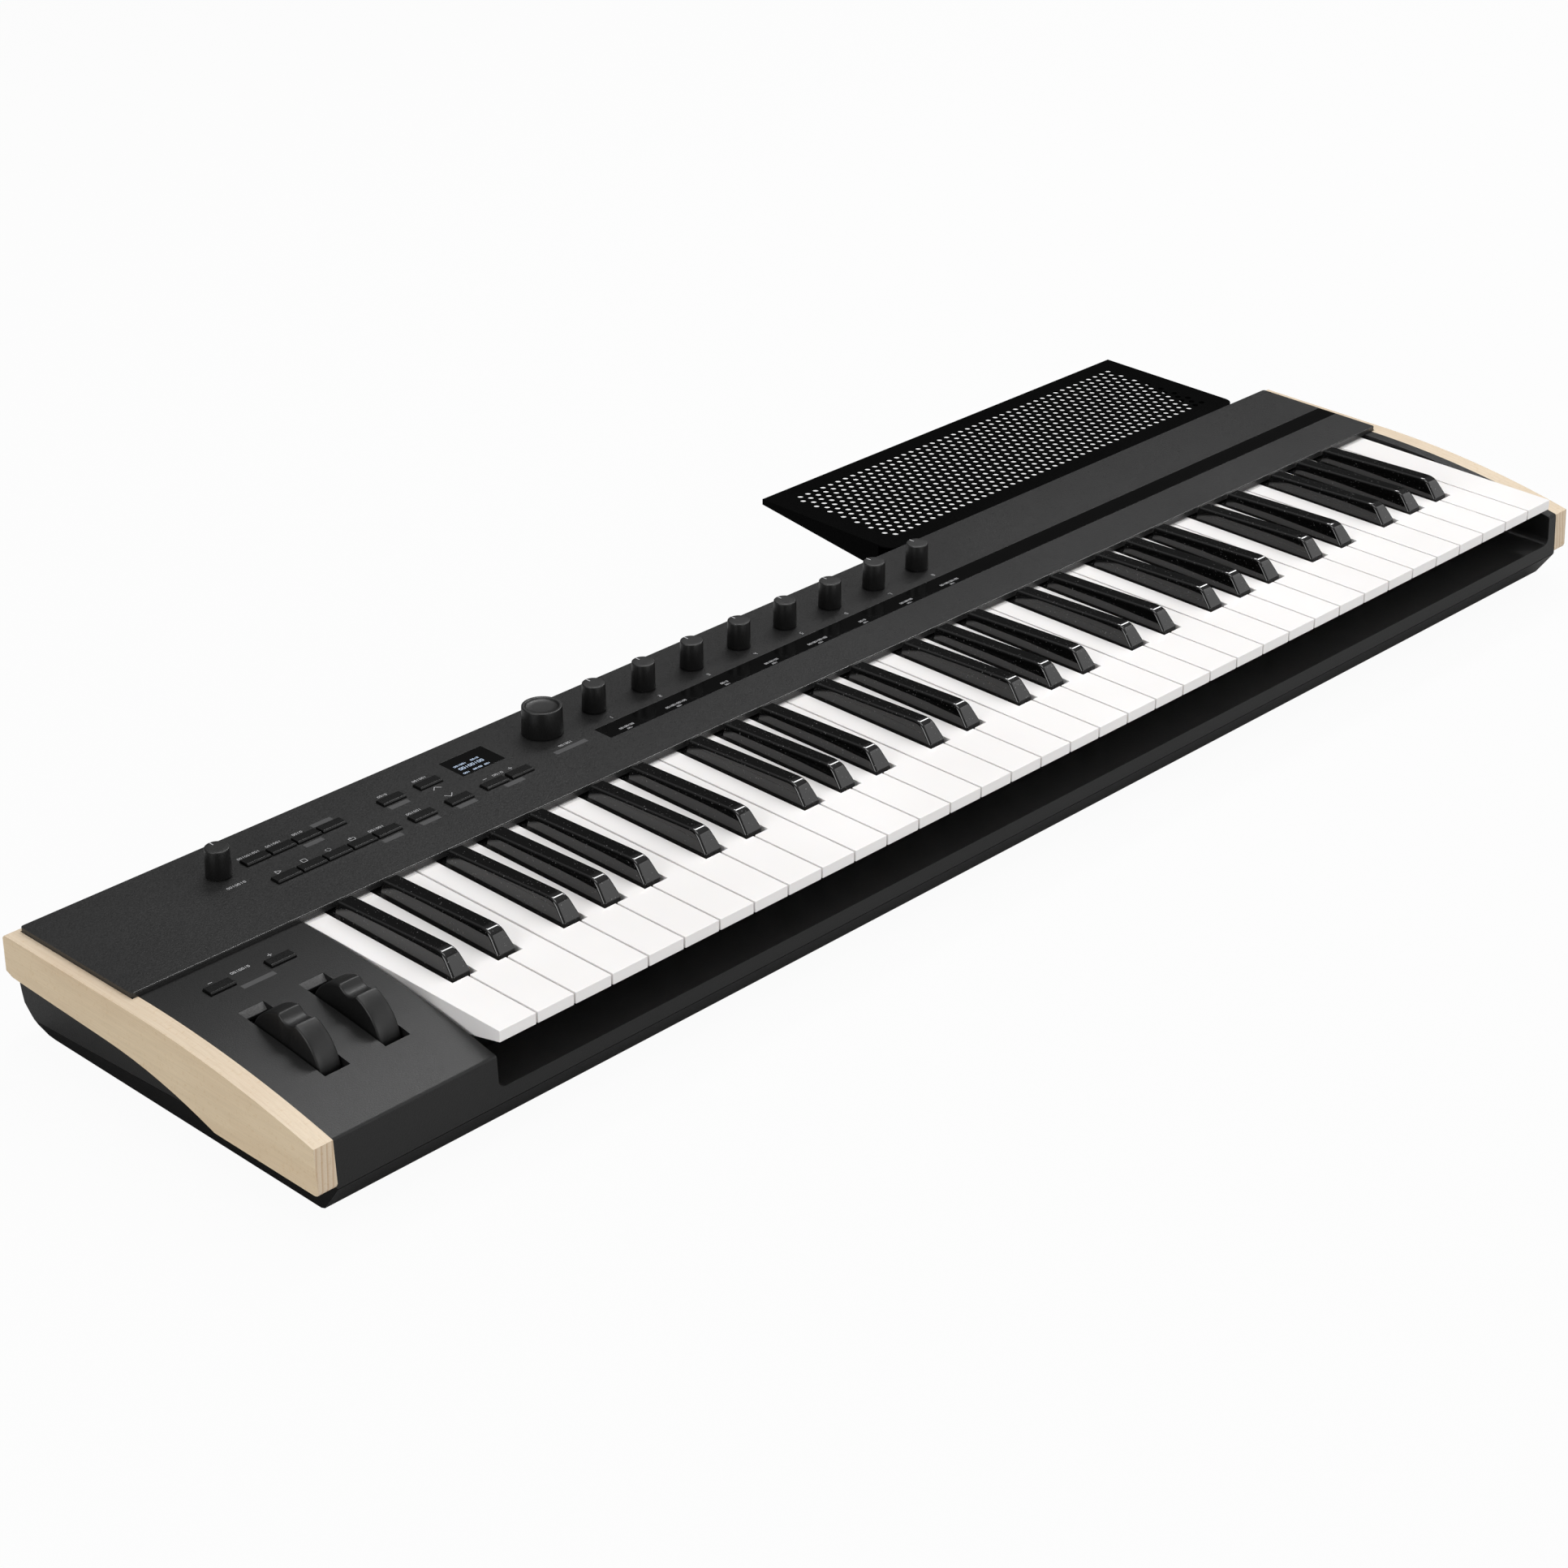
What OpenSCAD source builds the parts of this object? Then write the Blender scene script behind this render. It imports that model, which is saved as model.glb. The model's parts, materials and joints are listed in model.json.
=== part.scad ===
// Keyboard synthesizer: 61 keys, two wheels, a control panel with knobs, buttons and two displays,
// wooden end cheeks and a perforated tray at the back.
// Everything is drawn from one datum: x from the left edge of the lowest key, y back from the key fronts,
// z up from the tops of the white keys. in_place() then moves it to the middle of the footprint.

/* [Keyboard] */
// Distance from one white key to the next
key_pitch = 23.5; // [23.2:0.1:24]
// Number of full octaves above the lowest key
octaves = 5; // [4:1:6]
// Gap between two white keys
key_gap = 1.2; // [0.8:0.1:1.6]
// Height of the lip at the front of a white key
lip_h = 6.1; // [5:0.1:8]
// Front edge of the black keys, back from the white key fronts
black_front_y = 48.8; // [46:0.1:52]
// Width of a black key at the level of the white keys
black_w = 11.6; // [10.6:0.1:12.2]
// Height of a black key above the white keys
black_h = 10.2; // [9:0.1:12]

/* [Case] */
// Width of the block that holds the wheels
left_block_w = 95.3; // [95:0.5:110]
// Width of the block at the right end of the keys
right_block_w = 7.2; // [7:0.1:12]
// Depth of the case from front to back
case_depth = 235.6; // [235:0.2:240]
// Height of the white key tops above the underside of the case
case_h = 54; // [53:0.5:60]
// Height of the rubber feet
foot_h = 3; // [2.5:0.5:6]
// Thickness of a wooden cheek
cheek_t = 11; // [10:0.5:16]
// Thickness of the moulded walls
wall = 3; // [2.5:0.1:3.2]
// Thickness of the end walls that carry the cheeks
end_wall = 2; // [1.8:0.1:2.4]

/* [Panel] */
// Front edge of the control panel
panel_y = 138; // [137:0.1:139]
// Depth of the control panel
panel_d = 87; // [86:0.1:88]
// Top of the control panel above the white keys
panel_top = 4.2; // [4:0.1:4.6]
// Thickness of the control panel
panel_t = 3.3; // [3:0.1:3.3]

/* [Controls] */
// Diameter of the eight control knobs and of the volume knob
knob_d = 13.3; // [12:0.1:14]
// Diameter of the value knob
value_knob_d = 22.3; // [20:0.1:24]
// Top of the knobs above the panel
knob_h = 16; // [14:0.5:18]
// Distance from one control knob to the next
knob_pitch = 36.1; // [30:0.1:38]
// Width of a button
button_w = 14.6; // [13:0.1:14.8]
// Depth of a button
button_d = 6.6; // [6:0.1:7]
// Height of a button above the surface round it
button_h = 1.5; // [1.2:0.1:2.5]
// Travel of a button
button_travel = 0.8; // [0.3:0.1:0.8]
// Diameter of the two wheels
wheel_d = 50; // [46:0.5:50]
// Width of the two wheels
wheel_w = 12.5; // [11:0.1:13]

/* [Tray] */
// Width of the tray
tray_w = 322.5; // [200:0.5:330]
// Rear edge of the tray
tray_back_y = 330; // [300:1:340]
// Diameter of a hole in the tray
tray_hole_d = 4; // [2.5:0.1:4.4]
// Distance from one hole to the next along a row
tray_hole_pitch = 6.54; // [6:0.02:8]
// Number of rows of holes
tray_rows = 15; // [1:1:15]
// Thickness of the tray's sheet
tray_t = 0.9; // [0.8:0.1:1.6]

/* [Hidden] */

eps = 0.1;
round_fn = 64;

// Colours
panel_black = [0.13, 0.13, 0.13];
case_black = [0.08, 0.08, 0.08];
maple = [0.87, 0.78, 0.62];
key_white = [0.95, 0.94, 0.92];
key_black = [0.03, 0.03, 0.03];
knob_grey = [0.18, 0.18, 0.18];
board_green = [0.05, 0.3, 0.15];
steel = [0.7, 0.7, 0.72];
rubber_grey = [0.25, 0.25, 0.25];

// Keyboard layout
n_white = 7 * octaves + 1;
octave_w = 7 * key_pitch;
notch_w = black_w + 3.6;
notch_front_y = black_front_y - 2;
// White keys C D E F G A B: the black key at the right boundary of each, as an offset from that boundary
black_offset = [-2.35, 2.35, undef, -3.05, 0, 3.05, undef];
key_wall = 1.6;
key_skin = 2.5;
key_h = 12;
key_end_y = 147;
lip_t = 3;
lip_slope_y = 25;
black_top_w = 8.6;
black_rear_y = 133.7;
black_rear_drop = 3;
black_slope_y = 9;

// Pivot of the keys: a bar that every key clips onto
pivot_y = 155;
pivot_z = -8;
pivot_r = 2;
pivot_clearance = 0.05;
clip_r = 4;
clip_mouth = 3;

// The contact rib of a key crosses its hollow
rib_y0 = 106;
rib_y1 = 114;

// Key chassis, contact board and the middles of the keys
chassis_z0 = -34.5;
chassis_z1 = -32;
chassis_margin = 0.6;
guide_top_z = -14.5;
guide_w = 3;
white_guide_y = [32, 40];
sharp_guide_y = [64, 72];
contact_y = [94, 126];
contact_z = [-20.6, -19];
pad_strip_y = [102, 118];
pad_strip_t = 1;
pad_r = 2.8;
pad_top_z = -15.3;
white_middles = [for (i = [0:7 * octaves]) (i + 0.5) * key_pitch];
sharp_middles = [
    for (o = [0:octaves - 1])
        for (n = [0, 1, 3, 4, 5])
            (7 * o + n + 1) * key_pitch + black_offset[n]
];

// The well the keys lie in, and the case round it
well_margin = 1.5;
well_corner_r = 4;
well_x0 = -well_margin;
well_x1 = n_white * key_pitch + well_margin;
case_x0 = well_x0 - left_block_w;
case_x1 = well_x1 + right_block_w;
body_w = case_x1 - case_x0 + 2 * cheek_t;
key_x0 = -body_w / 2 + cheek_t + left_block_w + well_margin;
case_bottom_z = -case_h;
key_top_z = case_h + foot_h;

// Side outline of the cheeks and blocks: level at the back, then a long arc down to the front edge
side_top = 1.6;
arc_start_y = 135;
arc_r = 658;
front_lean = 1.4;
function top_z(y) =
    y >= arc_start_y ? side_top : side_top - arc_r + sqrt(pow(arc_r, 2) - pow(arc_start_y - y, 2));
function top_points(y0, y1, drop, n = 18) =
    [for (i = [0:n]) let (y = y0 + (y1 - y0) * i / n) [y, top_z(y) - drop]];
// Underside of a cheek: nearly level at the back, then an arc down to the thick front part
cheek_back_y = 228.6;
cheek_arc_y = 150;
cheek_kink_y = 71.5;
cheek_arc_z = -22.7;
cheek_slope = 0.04;
cheek_arc_r = 275;
cheek_bottom_z = -37;
function cheek_under_z(y) =
    cheek_arc_z - cheek_slope * (cheek_arc_y - y) - pow(cheek_arc_y - y, 2) / (2 * cheek_arc_r);

// Joint between the two shells: a line that falls towards the back
split_front_z = -37.5;
split_slope = 0.053;
split_gap = 0.3;
function split_z(y) = split_front_z - split_slope * y;
split_back_y = case_depth - 9.2;
pan_front_y = 9.3;
pan_flat_y = 12;
pan_taper = 0.3;
pan_t = 2.5;
rail_top_z = -29.5;
rail_d = 30;
rail_t = 2.5;
block_skin = 4.6;
bay_y = 162;
deck_z = panel_top - panel_t;
deck_y = panel_y - 0.1;
front_edge_r = 1.6;
rear_bevel_y = 224;
rear_bevel_z = -14;
rear_flange_y = 212;
rear_flange_t = 3;

// Panel, windows and boards
panel_overlap = 3.2;
panel_corner_r = 1.6;
panel_x0 = case_x0 - panel_overlap;
panel_x1 = case_x1 + panel_overlap;
strip_x0 = 229;
strip_y0 = 168;
strip_d = 13;
strip_t = 1.4;
display_x0 = 146.5;
display_y0 = 190;
display_w = 28.5;
display_d = 19.5;
window_t = 1.6;
window_ledge = 2;
board_top_z = -9;
board_t = 1.6;
board_y0 = 163;
board_inset = 6;
board_y1 = 219;
octave_board_y = 104;
octave_board_x1 = -16;

// Knobs
knob_y = 198;
knob_x0 = 244.8;
volume_x = -4.2;
volume_y = 197;
value_x = 208;
knob_gap = 0.6;
knob_taper = 0.35;
knob_edge = 0.5;
bushing_r = 3.5;
bushing_top = panel_top + 1;
shaft_r = 3;
shaft_clearance = 0.05;
shaft_top = panel_top + 12;
encoder_w = 11.6;
encoder_h = 6.5;
value_dish_r = 0.385 * value_knob_d;
value_dish_depth = 1.2;
notch_knob_w = 1.4;
function knob_x(i) = knob_x0 + knob_pitch * (i - 1);

// Buttons: [x, y] of each on the panel
row_a_y = 197;
row_b_y = 173;
column_x = [18.2, 34, 49.8, 65.6, 81.4];
arp_x = 104.4;
value_buttons_x = 128.6;
page_left_x = 152.3;
page_right_x = 169.3;
octave_y = 117.8;
octave_down_x = -65.7;
octave_up_x = -30.4;
button_gap = 0.25;
button_flange = 1.2;
button_flange_t = 1.3;
switch_w = 6;
switch_h = 4;
switch_top_z = board_top_z + switch_h;
panel_buttons = [
    [column_x[0], row_a_y], [column_x[1], row_a_y], [column_x[2], row_a_y], [column_x[3], row_a_y],
    [arp_x, row_a_y], [value_buttons_x, row_a_y],
    [column_x[0], row_b_y], [column_x[1], row_b_y], [column_x[2], row_b_y], [column_x[3], row_b_y],
    [column_x[4], row_b_y], [arp_x, row_b_y], [value_buttons_x, row_b_y],
    [page_left_x, row_b_y], [page_right_x, row_b_y]
];
octave_buttons = [[octave_down_x, octave_y], [octave_up_x, octave_y]];
octave_pocket_z = -1.2;

// Wheels
wheel_y = 64;
wheel_z = -13;
wheel_x = [-65.3, -30.2];
wheel_slot_w = 14.6;
wheel_slot_y0 = 34.4;
wheel_slot_y1 = 95.9;
slot_ledge = 3;
slot_ledge_drop = 3.5;
wheel_chamfer = 1;
axle_r = 3;
groove_r = 7.1;
groove_depth = 3;
groove_lean = 6.8;
hub_w = 1;
bracket_t = 2;
bracket_d = 24;

// Connectors along the back, as distances from the left edge of the lowest key
connector_z = -26;
jack_x = [60, 90, 120, 150];
din_x = [190, 225];
usb_x = 30;
jack_bore_r = 3.2;
jack_bore_l = 24;
jack_bushing_r = 4.75;
jack_body = [16, 30, 14];
din_bore_r = 7.2;
din_r = 8.8;
din_bore_l = 9;
din_body = [20, 12, 19];
usb_size = [9.2, 3.4];
plate_x0 = 14;
plate_x1 = 243;
plate_h = 21;
plate_t = 2;
plate_overlap = 3;

// Feet and screws
foot_r = 8;
foot_x = [case_x0 + 28, (case_x0 + case_x1) / 2, case_x1 - 28];
foot_y = [28, 196];
screw_r = 1.4;
screw_head_r = 2.8;
screw_head_h = 1.8;
screw_fit = 0.06;
boss_r = 4;
boss_top_z = -33;
front_boss_x = [case_x0 + 12, well_x0 - 12, 200, (well_x0 + well_x1) / 2, 646, well_x1 - 12];
front_boss_y = 18;
rear_boss_x = [case_x0 + 12, 300, 560, case_x1 - 12];
rear_boss_y = 210;
rear_boss_gap = 0.6;
boss_web_t = 3;
boss_web_z = [-44, -27];
pan_screw_l = 14;
cheek_screws = [[30, -25], [118, -14], [205, -11]];
cheek_screw_l = 9;
cheek_hole_l = cheek_screw_l - end_wall + 0.2;
tray_screw_z = -22;

// Tray at the back
tray_x1 = well_x1 - 19;
tray_x0 = tray_x1 - tray_w;
tray_y0 = 225;
tray_corner_r = 8;
tray_row_pitch = 5.51;
tray_first_row_y = 239.7;
tray_margin = 10.5;
tray_lip_h = 3.5;
tray_hang_z = -28;
tray_hang_w = 24;
tray_flange_y = case_depth + 0.2;
tray_screw_x = [tray_x0 + 40, (tray_x0 + tray_x1) / 2, tray_x1 - 40];

module in_place() {
    translate([key_x0, -(tray_back_y - front_lean) / 2, key_top_z])
        children();
}

// A bar with the given outline in y and z, from x0 to x1
module along_x(outline, x0, x1) {
    translate([x0, 0, 0])
        rotate([90, 0, 90])
            linear_extrude(x1 - x0)
                polygon(outline);
}

// A bar with the given outline in x and z, from y0 to y1
module along_y(outline, y0, y1) {
    translate([0, y1, 0])
        rotate([90, 0, 0])
            linear_extrude(y1 - y0)
                polygon(outline);
}

// A block given by its lowest and highest corners
module block(low, high) {
    translate(low)
        cube(high - low);
}

// A flat plate with rounded corners, given by its lowest and highest corners
module rounded_plate(low, high, r) {
    block([low[0] + r, low[1], low[2]], [high[0] - r, high[1], high[2]]);
    block([low[0], low[1] + r, low[2]], [high[0], high[1] - r, high[2]]);
    for (x = [low[0] + r, high[0] - r])
        for (y = [low[1] + r, high[1] - r])
            post(x, y, low[2], high[2], r);
}

module rod_x(x0, x1, y, z, r) {
    translate([x0, y, z])
        rotate([0, 90, 0])
            cylinder(r = r, h = x1 - x0, $fn = round_fn);
}

module rod_y(x, y0, y1, z, r) {
    translate([x, y0, z])
        rotate([-90, 0, 0])
            cylinder(r = r, h = y1 - y0, $fn = round_fn);
}

module post(x, y, z0, z1, r) {
    translate([x, y, z0])
        cylinder(r = r, h = z1 - z0, $fn = round_fn);
}

// Case

module upper_case() {
    r = front_edge_r;
    outer = concat(
        [[-front_lean, split_z(0)]],
        [for (a = [0:22.5:90]) [r * (1 - cos(a)), top_z(r) - r * (1 - sin(a))]],
        top_points(r + 1, deck_y, 0),
        [[deck_y, deck_z], [rear_bevel_y, deck_z], [case_depth, rear_bevel_z]],
        [[case_depth, -32.3], [case_depth - 0.9, -37.3], [case_depth - 2.3, -42.6]],
        [[case_depth - 6.6, -47.1], [split_back_y, split_z(split_back_y)]]
    );
    hollow = concat(
        [[wall - front_lean, case_bottom_z], [wall - front_lean, split_z(0)]],
        top_points(wall, deck_y, block_skin),
        [[deck_y + 12, top_z(deck_y) - block_skin], [deck_y + 12, side_top + 1]],
        [[bay_y + eps, side_top + 1], [bay_y + eps, case_bottom_z]]
    );
    bay = [
        [bay_y, case_bottom_z], [bay_y, side_top + 1], [rear_flange_y, side_top + 1],
        [rear_flange_y, deck_z - rear_flange_t], [rear_bevel_y - 1.5, deck_z - rear_flange_t],
        [case_depth - wall, rear_bevel_z], [case_depth - wall, -37.8], [case_depth - 6, -43],
        [case_depth - 12, -48], [case_depth - 13, case_bottom_z]
    ];
    front_ledge_z = top_z(wheel_slot_y0) - slot_ledge_drop;
    rear_ledge_z = top_z(wheel_slot_y1) - slot_ledge_drop;
    slot = [
        [wheel_slot_y0, panel_top], [wheel_slot_y0, top_z(wheel_slot_y0)],
        [wheel_slot_y0 + slot_ledge, front_ledge_z], [wheel_slot_y0 + slot_ledge, wheel_z],
        [wheel_slot_y1 - slot_ledge, wheel_z], [wheel_slot_y1 - slot_ledge, rear_ledge_z],
        [wheel_slot_y1, top_z(wheel_slot_y1)], [wheel_slot_y1, panel_top]
    ];
    c = well_corner_r;
    well = concat(
        [[well_x0, panel_top]],
        [for (a = [0:15:90]) [well_x0 + c * (1 - cos(a)), rail_top_z + c * (1 - sin(a))]],
        [for (a = [90:-15:0]) [well_x1 - c * (1 - cos(a)), rail_top_z + c * (1 - sin(a))]],
        [[well_x1, panel_top]]
    );
    color(case_black)
        in_place()
            difference() {
                union() {
                    difference() {
                        along_x(outer, case_x0, case_x1);
                        along_x(hollow, case_x0 + end_wall, well_x0 - wall);
                        along_x(hollow, well_x1 + end_wall, case_x1 - end_wall);
                        along_x(bay, case_x0 + end_wall, case_x1 - end_wall);
                        along_y(well, -front_lean - 1, bay_y + eps);
                        block([well_x0, wall, case_bottom_z], [well_x1, rail_d, rail_top_z - rail_t]);
                        block([well_x0, rail_d, case_bottom_z], [well_x1, bay_y + eps, rail_top_z + c + eps]);
                    }
                    for (x = front_boss_x)
                        post(x, front_boss_y, case_bottom_z + pan_t, boss_top_z + 2, boss_r);
                    for (x = rear_boss_x) {
                        post(x, rear_boss_y, case_bottom_z + pan_t + rear_boss_gap, boss_web_z[1], boss_r);
                        block([x - boss_web_t / 2, rear_boss_y + 2, boss_web_z[0]],
                              [x + boss_web_t / 2, case_depth - wall + eps, boss_web_z[1]]);
                    }
                    for (x = [front_boss_x[0], front_boss_x[1]])
                        block([x - boss_web_t / 2, wall - front_lean - eps, boss_top_z],
                              [x + boss_web_t / 2, front_boss_y, boss_top_z + 12]);
                }
                for (x = wheel_x)
                    along_x(slot, x - wheel_slot_w / 2, x + wheel_slot_w / 2);
                for (b = octave_buttons) {
                    button_opening(b, -eps - block_skin, panel_top);
                    block([b[0] - 9, b[1] - 6, -block_skin - 2], [b[0] + 9, b[1] + 6, octave_pocket_z]);
                }
                for (x = front_boss_x)
                    post(x, front_boss_y, case_bottom_z, boss_top_z - 2, screw_r + screw_fit);
                for (x = rear_boss_x)
                    post(x, rear_boss_y, case_bottom_z, -30, screw_r + screw_fit);
                for (s = cheek_screws) {
                    rod_x(case_x0 - 1, case_x0 + end_wall + eps, s[0], s[1], screw_r + screw_fit);
                    rod_x(case_x1 - end_wall - eps, case_x1 + 1, s[0], s[1], screw_r + screw_fit);
                }
                for (x = tray_screw_x)
                    rod_y(x, case_depth - wall - 1, case_depth + 1, tray_screw_z, screw_r + screw_fit);
                block([plate_x0, case_depth - wall - 1, connector_z - plate_h / 2],
                      [plate_x1, case_depth + 1, connector_z + plate_h / 2]);
            }
}

module pan_volume(inset, top_shift) {
    intersection() {
        along_x([
            [inset - front_lean, split_z(0) + top_shift],
            [pan_front_y + inset * 0.7, case_bottom_z + 1 + inset * 0.9],
            [pan_flat_y + inset * 0.5, case_bottom_z + inset],
            [case_depth - 25, case_bottom_z + inset],
            [case_depth - 20 - inset * 0.4, case_bottom_z + 0.4 + inset],
            [case_depth - 11.8 - inset * 0.8, case_bottom_z + 2.8 + inset * 0.7],
            [split_back_y - inset, split_z(split_back_y) + top_shift]
        ], case_x0, case_x1);
        along_y([
            [case_x0 + inset, split_z(0) + 8],
            [case_x0 + inset, split_z(0)],
            [case_x0 + inset + pan_taper, case_bottom_z],
            [case_x1 - inset - pan_taper, case_bottom_z],
            [case_x1 - inset, split_z(0)],
            [case_x1 - inset, split_z(0) + 8]
        ], -front_lean - 1, case_depth + 1);
    }
}

module bottom_pan() {
    color(case_black)
        in_place()
            difference() {
                pan_volume(0, -split_gap);
                pan_volume(pan_t, 6);
                for (x = front_boss_x)
                    post(x, front_boss_y, case_bottom_z - 1, case_bottom_z + pan_t + 1, screw_r + screw_fit);
                for (x = rear_boss_x)
                    post(x, rear_boss_y, case_bottom_z - 1, case_bottom_z + pan_t + 4, screw_r + screw_fit);
            }
}

module cheek_solid(x0, x1) {
    n = 8;
    outline = concat(
        [[cheek_kink_y, cheek_bottom_z], [2.5 - front_lean, cheek_bottom_z]],
        [[0.7 - front_lean, cheek_bottom_z + 0.7], [-front_lean, cheek_bottom_z + 2.5]],
        top_points(0, arc_start_y, 0),
        [[cheek_back_y - 1.5, side_top], [cheek_back_y, side_top - 1.5]],
        [[cheek_back_y, -18], [cheek_back_y - 5, -20]],
        [for (i = [0:n - 1])
            let (y = cheek_arc_y + (cheek_kink_y - cheek_arc_y) * i / n)
                [y, cheek_under_z(y)]]
    );
    along_x(outline, x0, x1);
}

// Screw holes in the inner face of a cheek, and the step under the overhang of the panel
module cheek_cuts(x_inner) {
    for (s = cheek_screws)
        rod_x(x_inner - cheek_hole_l, x_inner + cheek_hole_l, s[0], s[1], screw_r + screw_fit);
    block([x_inner - panel_overlap - 0.1, panel_y - 0.1, deck_z],
          [x_inner + panel_overlap + 0.1, panel_y + panel_d + 0.1, side_top + 1]);
}

module cheek_left() {
    color(maple)
        in_place()
            difference() {
                cheek_solid(case_x0 - cheek_t, case_x0);
                cheek_cuts(case_x0);
            }
}

module cheek_right() {
    color(maple)
        in_place()
            difference() {
                cheek_solid(case_x1, case_x1 + cheek_t);
                cheek_cuts(case_x1);
            }
}

module rubber_feet() {
    color(rubber_grey)
        in_place()
            for (x = foot_x)
                for (y = foot_y)
                    post(x, y, case_bottom_z - foot_h, case_bottom_z, foot_r);
}

module screw_shape(l) {
    translate([0, 0, -screw_head_h])
        cylinder(r = screw_head_r, h = screw_head_h, $fn = round_fn);
    cylinder(r = screw_r, h = l, $fn = round_fn);
}

module screws() {
    color(steel)
        in_place() {
            for (x = front_boss_x)
                translate([x, front_boss_y, case_bottom_z])
                    screw_shape(pan_screw_l);
            for (x = rear_boss_x)
                translate([x, rear_boss_y, case_bottom_z])
                    screw_shape(pan_screw_l);
            for (s = cheek_screws) {
                translate([case_x0 + end_wall, s[0], s[1]])
                    rotate([0, -90, 0])
                        screw_shape(cheek_screw_l);
                translate([case_x1 - end_wall, s[0], s[1]])
                    rotate([0, 90, 0])
                        screw_shape(cheek_screw_l);
            }
            for (x = tray_screw_x)
                translate([x, tray_flange_y + tray_t, tray_screw_z])
                    rotate([90, 0, 0])
                        screw_shape(wall + tray_t + 1);
        }
}

// Control panel

module button_opening(b, z0, z1) {
    w = button_w / 2 + button_gap;
    d = button_d / 2 + button_gap;
    block([b[0] - w, b[1] - d, z0], [b[0] + w, b[1] + d, z1]);
}

module top_panel() {
    color(panel_black)
        in_place()
            difference() {
                rounded_plate([panel_x0, panel_y, deck_z], [panel_x1, panel_y + panel_d, panel_top],
                              panel_corner_r);
                for (b = panel_buttons)
                    button_opening(b, 0, panel_top + 1);
                for (i = [1:8])
                    post(knob_x(i), knob_y, 0, panel_top + 1, bushing_r + 0.2);
                post(value_x, knob_y, 0, panel_top + 1, bushing_r + 0.2);
                post(volume_x, volume_y, 0, panel_top + 1, bushing_r + 0.2);
                block([display_x0 - 0.1, display_y0 - 0.1, panel_top - window_t],
                      [display_x0 + display_w + 0.1, display_y0 + display_d + 0.1, panel_top + 1]);
                block([display_x0 + window_ledge, display_y0 + window_ledge, 0],
                      [display_x0 + display_w - window_ledge, display_y0 + display_d - window_ledge, panel_top]);
                block([strip_x0 - 0.1, strip_y0 - 0.1, panel_top - strip_t],
                      [panel_x1 + 1, strip_y0 + strip_d + 0.1, panel_top + 1]);
                block([strip_x0 + window_ledge, strip_y0 + window_ledge, 0],
                      [knob_x(8) + 20, strip_y0 + strip_d - window_ledge, panel_top]);
            }
}

module display_window() {
    color(key_black)
        in_place()
            block([display_x0, display_y0, panel_top - window_t],
                  [display_x0 + display_w, display_y0 + display_d, panel_top]);
}

module strip_window() {
    color(key_black)
        in_place()
            block([strip_x0, strip_y0, panel_top - strip_t], [panel_x1, strip_y0 + strip_d, panel_top]);
}

module panel_board() {
    bottom = board_top_z - board_t;
    color(board_green)
        in_place()
            union() {
                block([case_x0 + board_inset, board_y0, bottom], [case_x1 - board_inset, board_y1, board_top_z]);
                block([case_x0 + board_inset, octave_board_y, bottom],
                      [octave_board_x1, board_y0 + eps, board_top_z]);
            }
}

module encoder(x, y) {
    body = encoder_w / 2;
    translate([x, y, 0]) {
        block([-body, -body, board_top_z], [body, body, board_top_z + encoder_h]);
        post(0, 0, board_top_z, bushing_top, bushing_r);
        post(0, 0, board_top_z, shaft_top, shaft_r);
    }
}

module rotary_encoders() {
    color(steel)
        in_place() {
            for (i = [1:8])
                encoder(knob_x(i), knob_y);
            encoder(value_x, knob_y);
            encoder(volume_x, volume_y);
        }
}

module tact_switches() {
    color(key_black)
        in_place()
            for (b = concat(panel_buttons, octave_buttons))
                translate([b[0], b[1], board_top_z])
                    union() {
                        block([-switch_w / 2, -switch_w / 2, 0], [switch_w / 2, switch_w / 2, switch_h - 0.5]);
                        cylinder(r = 1.7, h = switch_h, $fn = round_fn);
                    }
}

// A button: a cap that stands through its opening, a flange that holds it in, and a stem down to its switch
module button(b, surface_z, under_z) {
    w = button_w / 2;
    d = button_d / 2;
    edge = 0.6;
    top = surface_z + button_h;
    flange_top = under_z - 0.3;
    stem_end = switch_top_z + button_travel + 0.1;
    in_place()
        translate([b[0], b[1], 0])
            union() {
                intersection() {
                    block([-w, -d, flange_top - button_flange_t], [w, d, top]);
                    along_x([
                        [-d, flange_top - button_flange_t], [-d, top - edge], [-d + edge, top],
                        [d - edge, top], [d, top - edge], [d, flange_top - button_flange_t]
                    ], -w, w);
                    along_y([
                        [-w, flange_top - button_flange_t], [-w, top - edge / 2], [-w + edge / 2, top],
                        [w - edge / 2, top], [w, top - edge / 2], [w, flange_top - button_flange_t]
                    ], -d, d);
                }
                block([-w, -d - button_flange, flange_top - button_flange_t], [w, d + button_flange, flange_top]);
                post(0, 0, stem_end, flange_top, 1.6);
            }
}

module panel_button(b) {
    color(knob_grey)
        button(b, panel_top, deck_z);
}

module octave_button(b) {
    color(knob_grey)
        button(b, top_z(b[1]), octave_pocket_z);
}

// A knob body: a turned shape with a skirt, a bore for its shaft and room for the bushing
module knob_body(d) {
    r = d / 2;
    top_r = r - knob_taper;
    base = panel_top + knob_gap;
    top = panel_top + knob_h;
    edge = knob_edge;
    difference() {
        rotate_extrude($fn = round_fn)
            polygon([
                [0, base], [r - edge, base], [r, base + edge], [top_r, top - edge], [top_r - edge, top], [0, top]
            ]);
        post(0, 0, base - 1, bushing_top + 0.5, bushing_r + 0.8);
        post(0, 0, base - 1, shaft_top + 0.3, shaft_r + shaft_clearance);
    }
}

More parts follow.
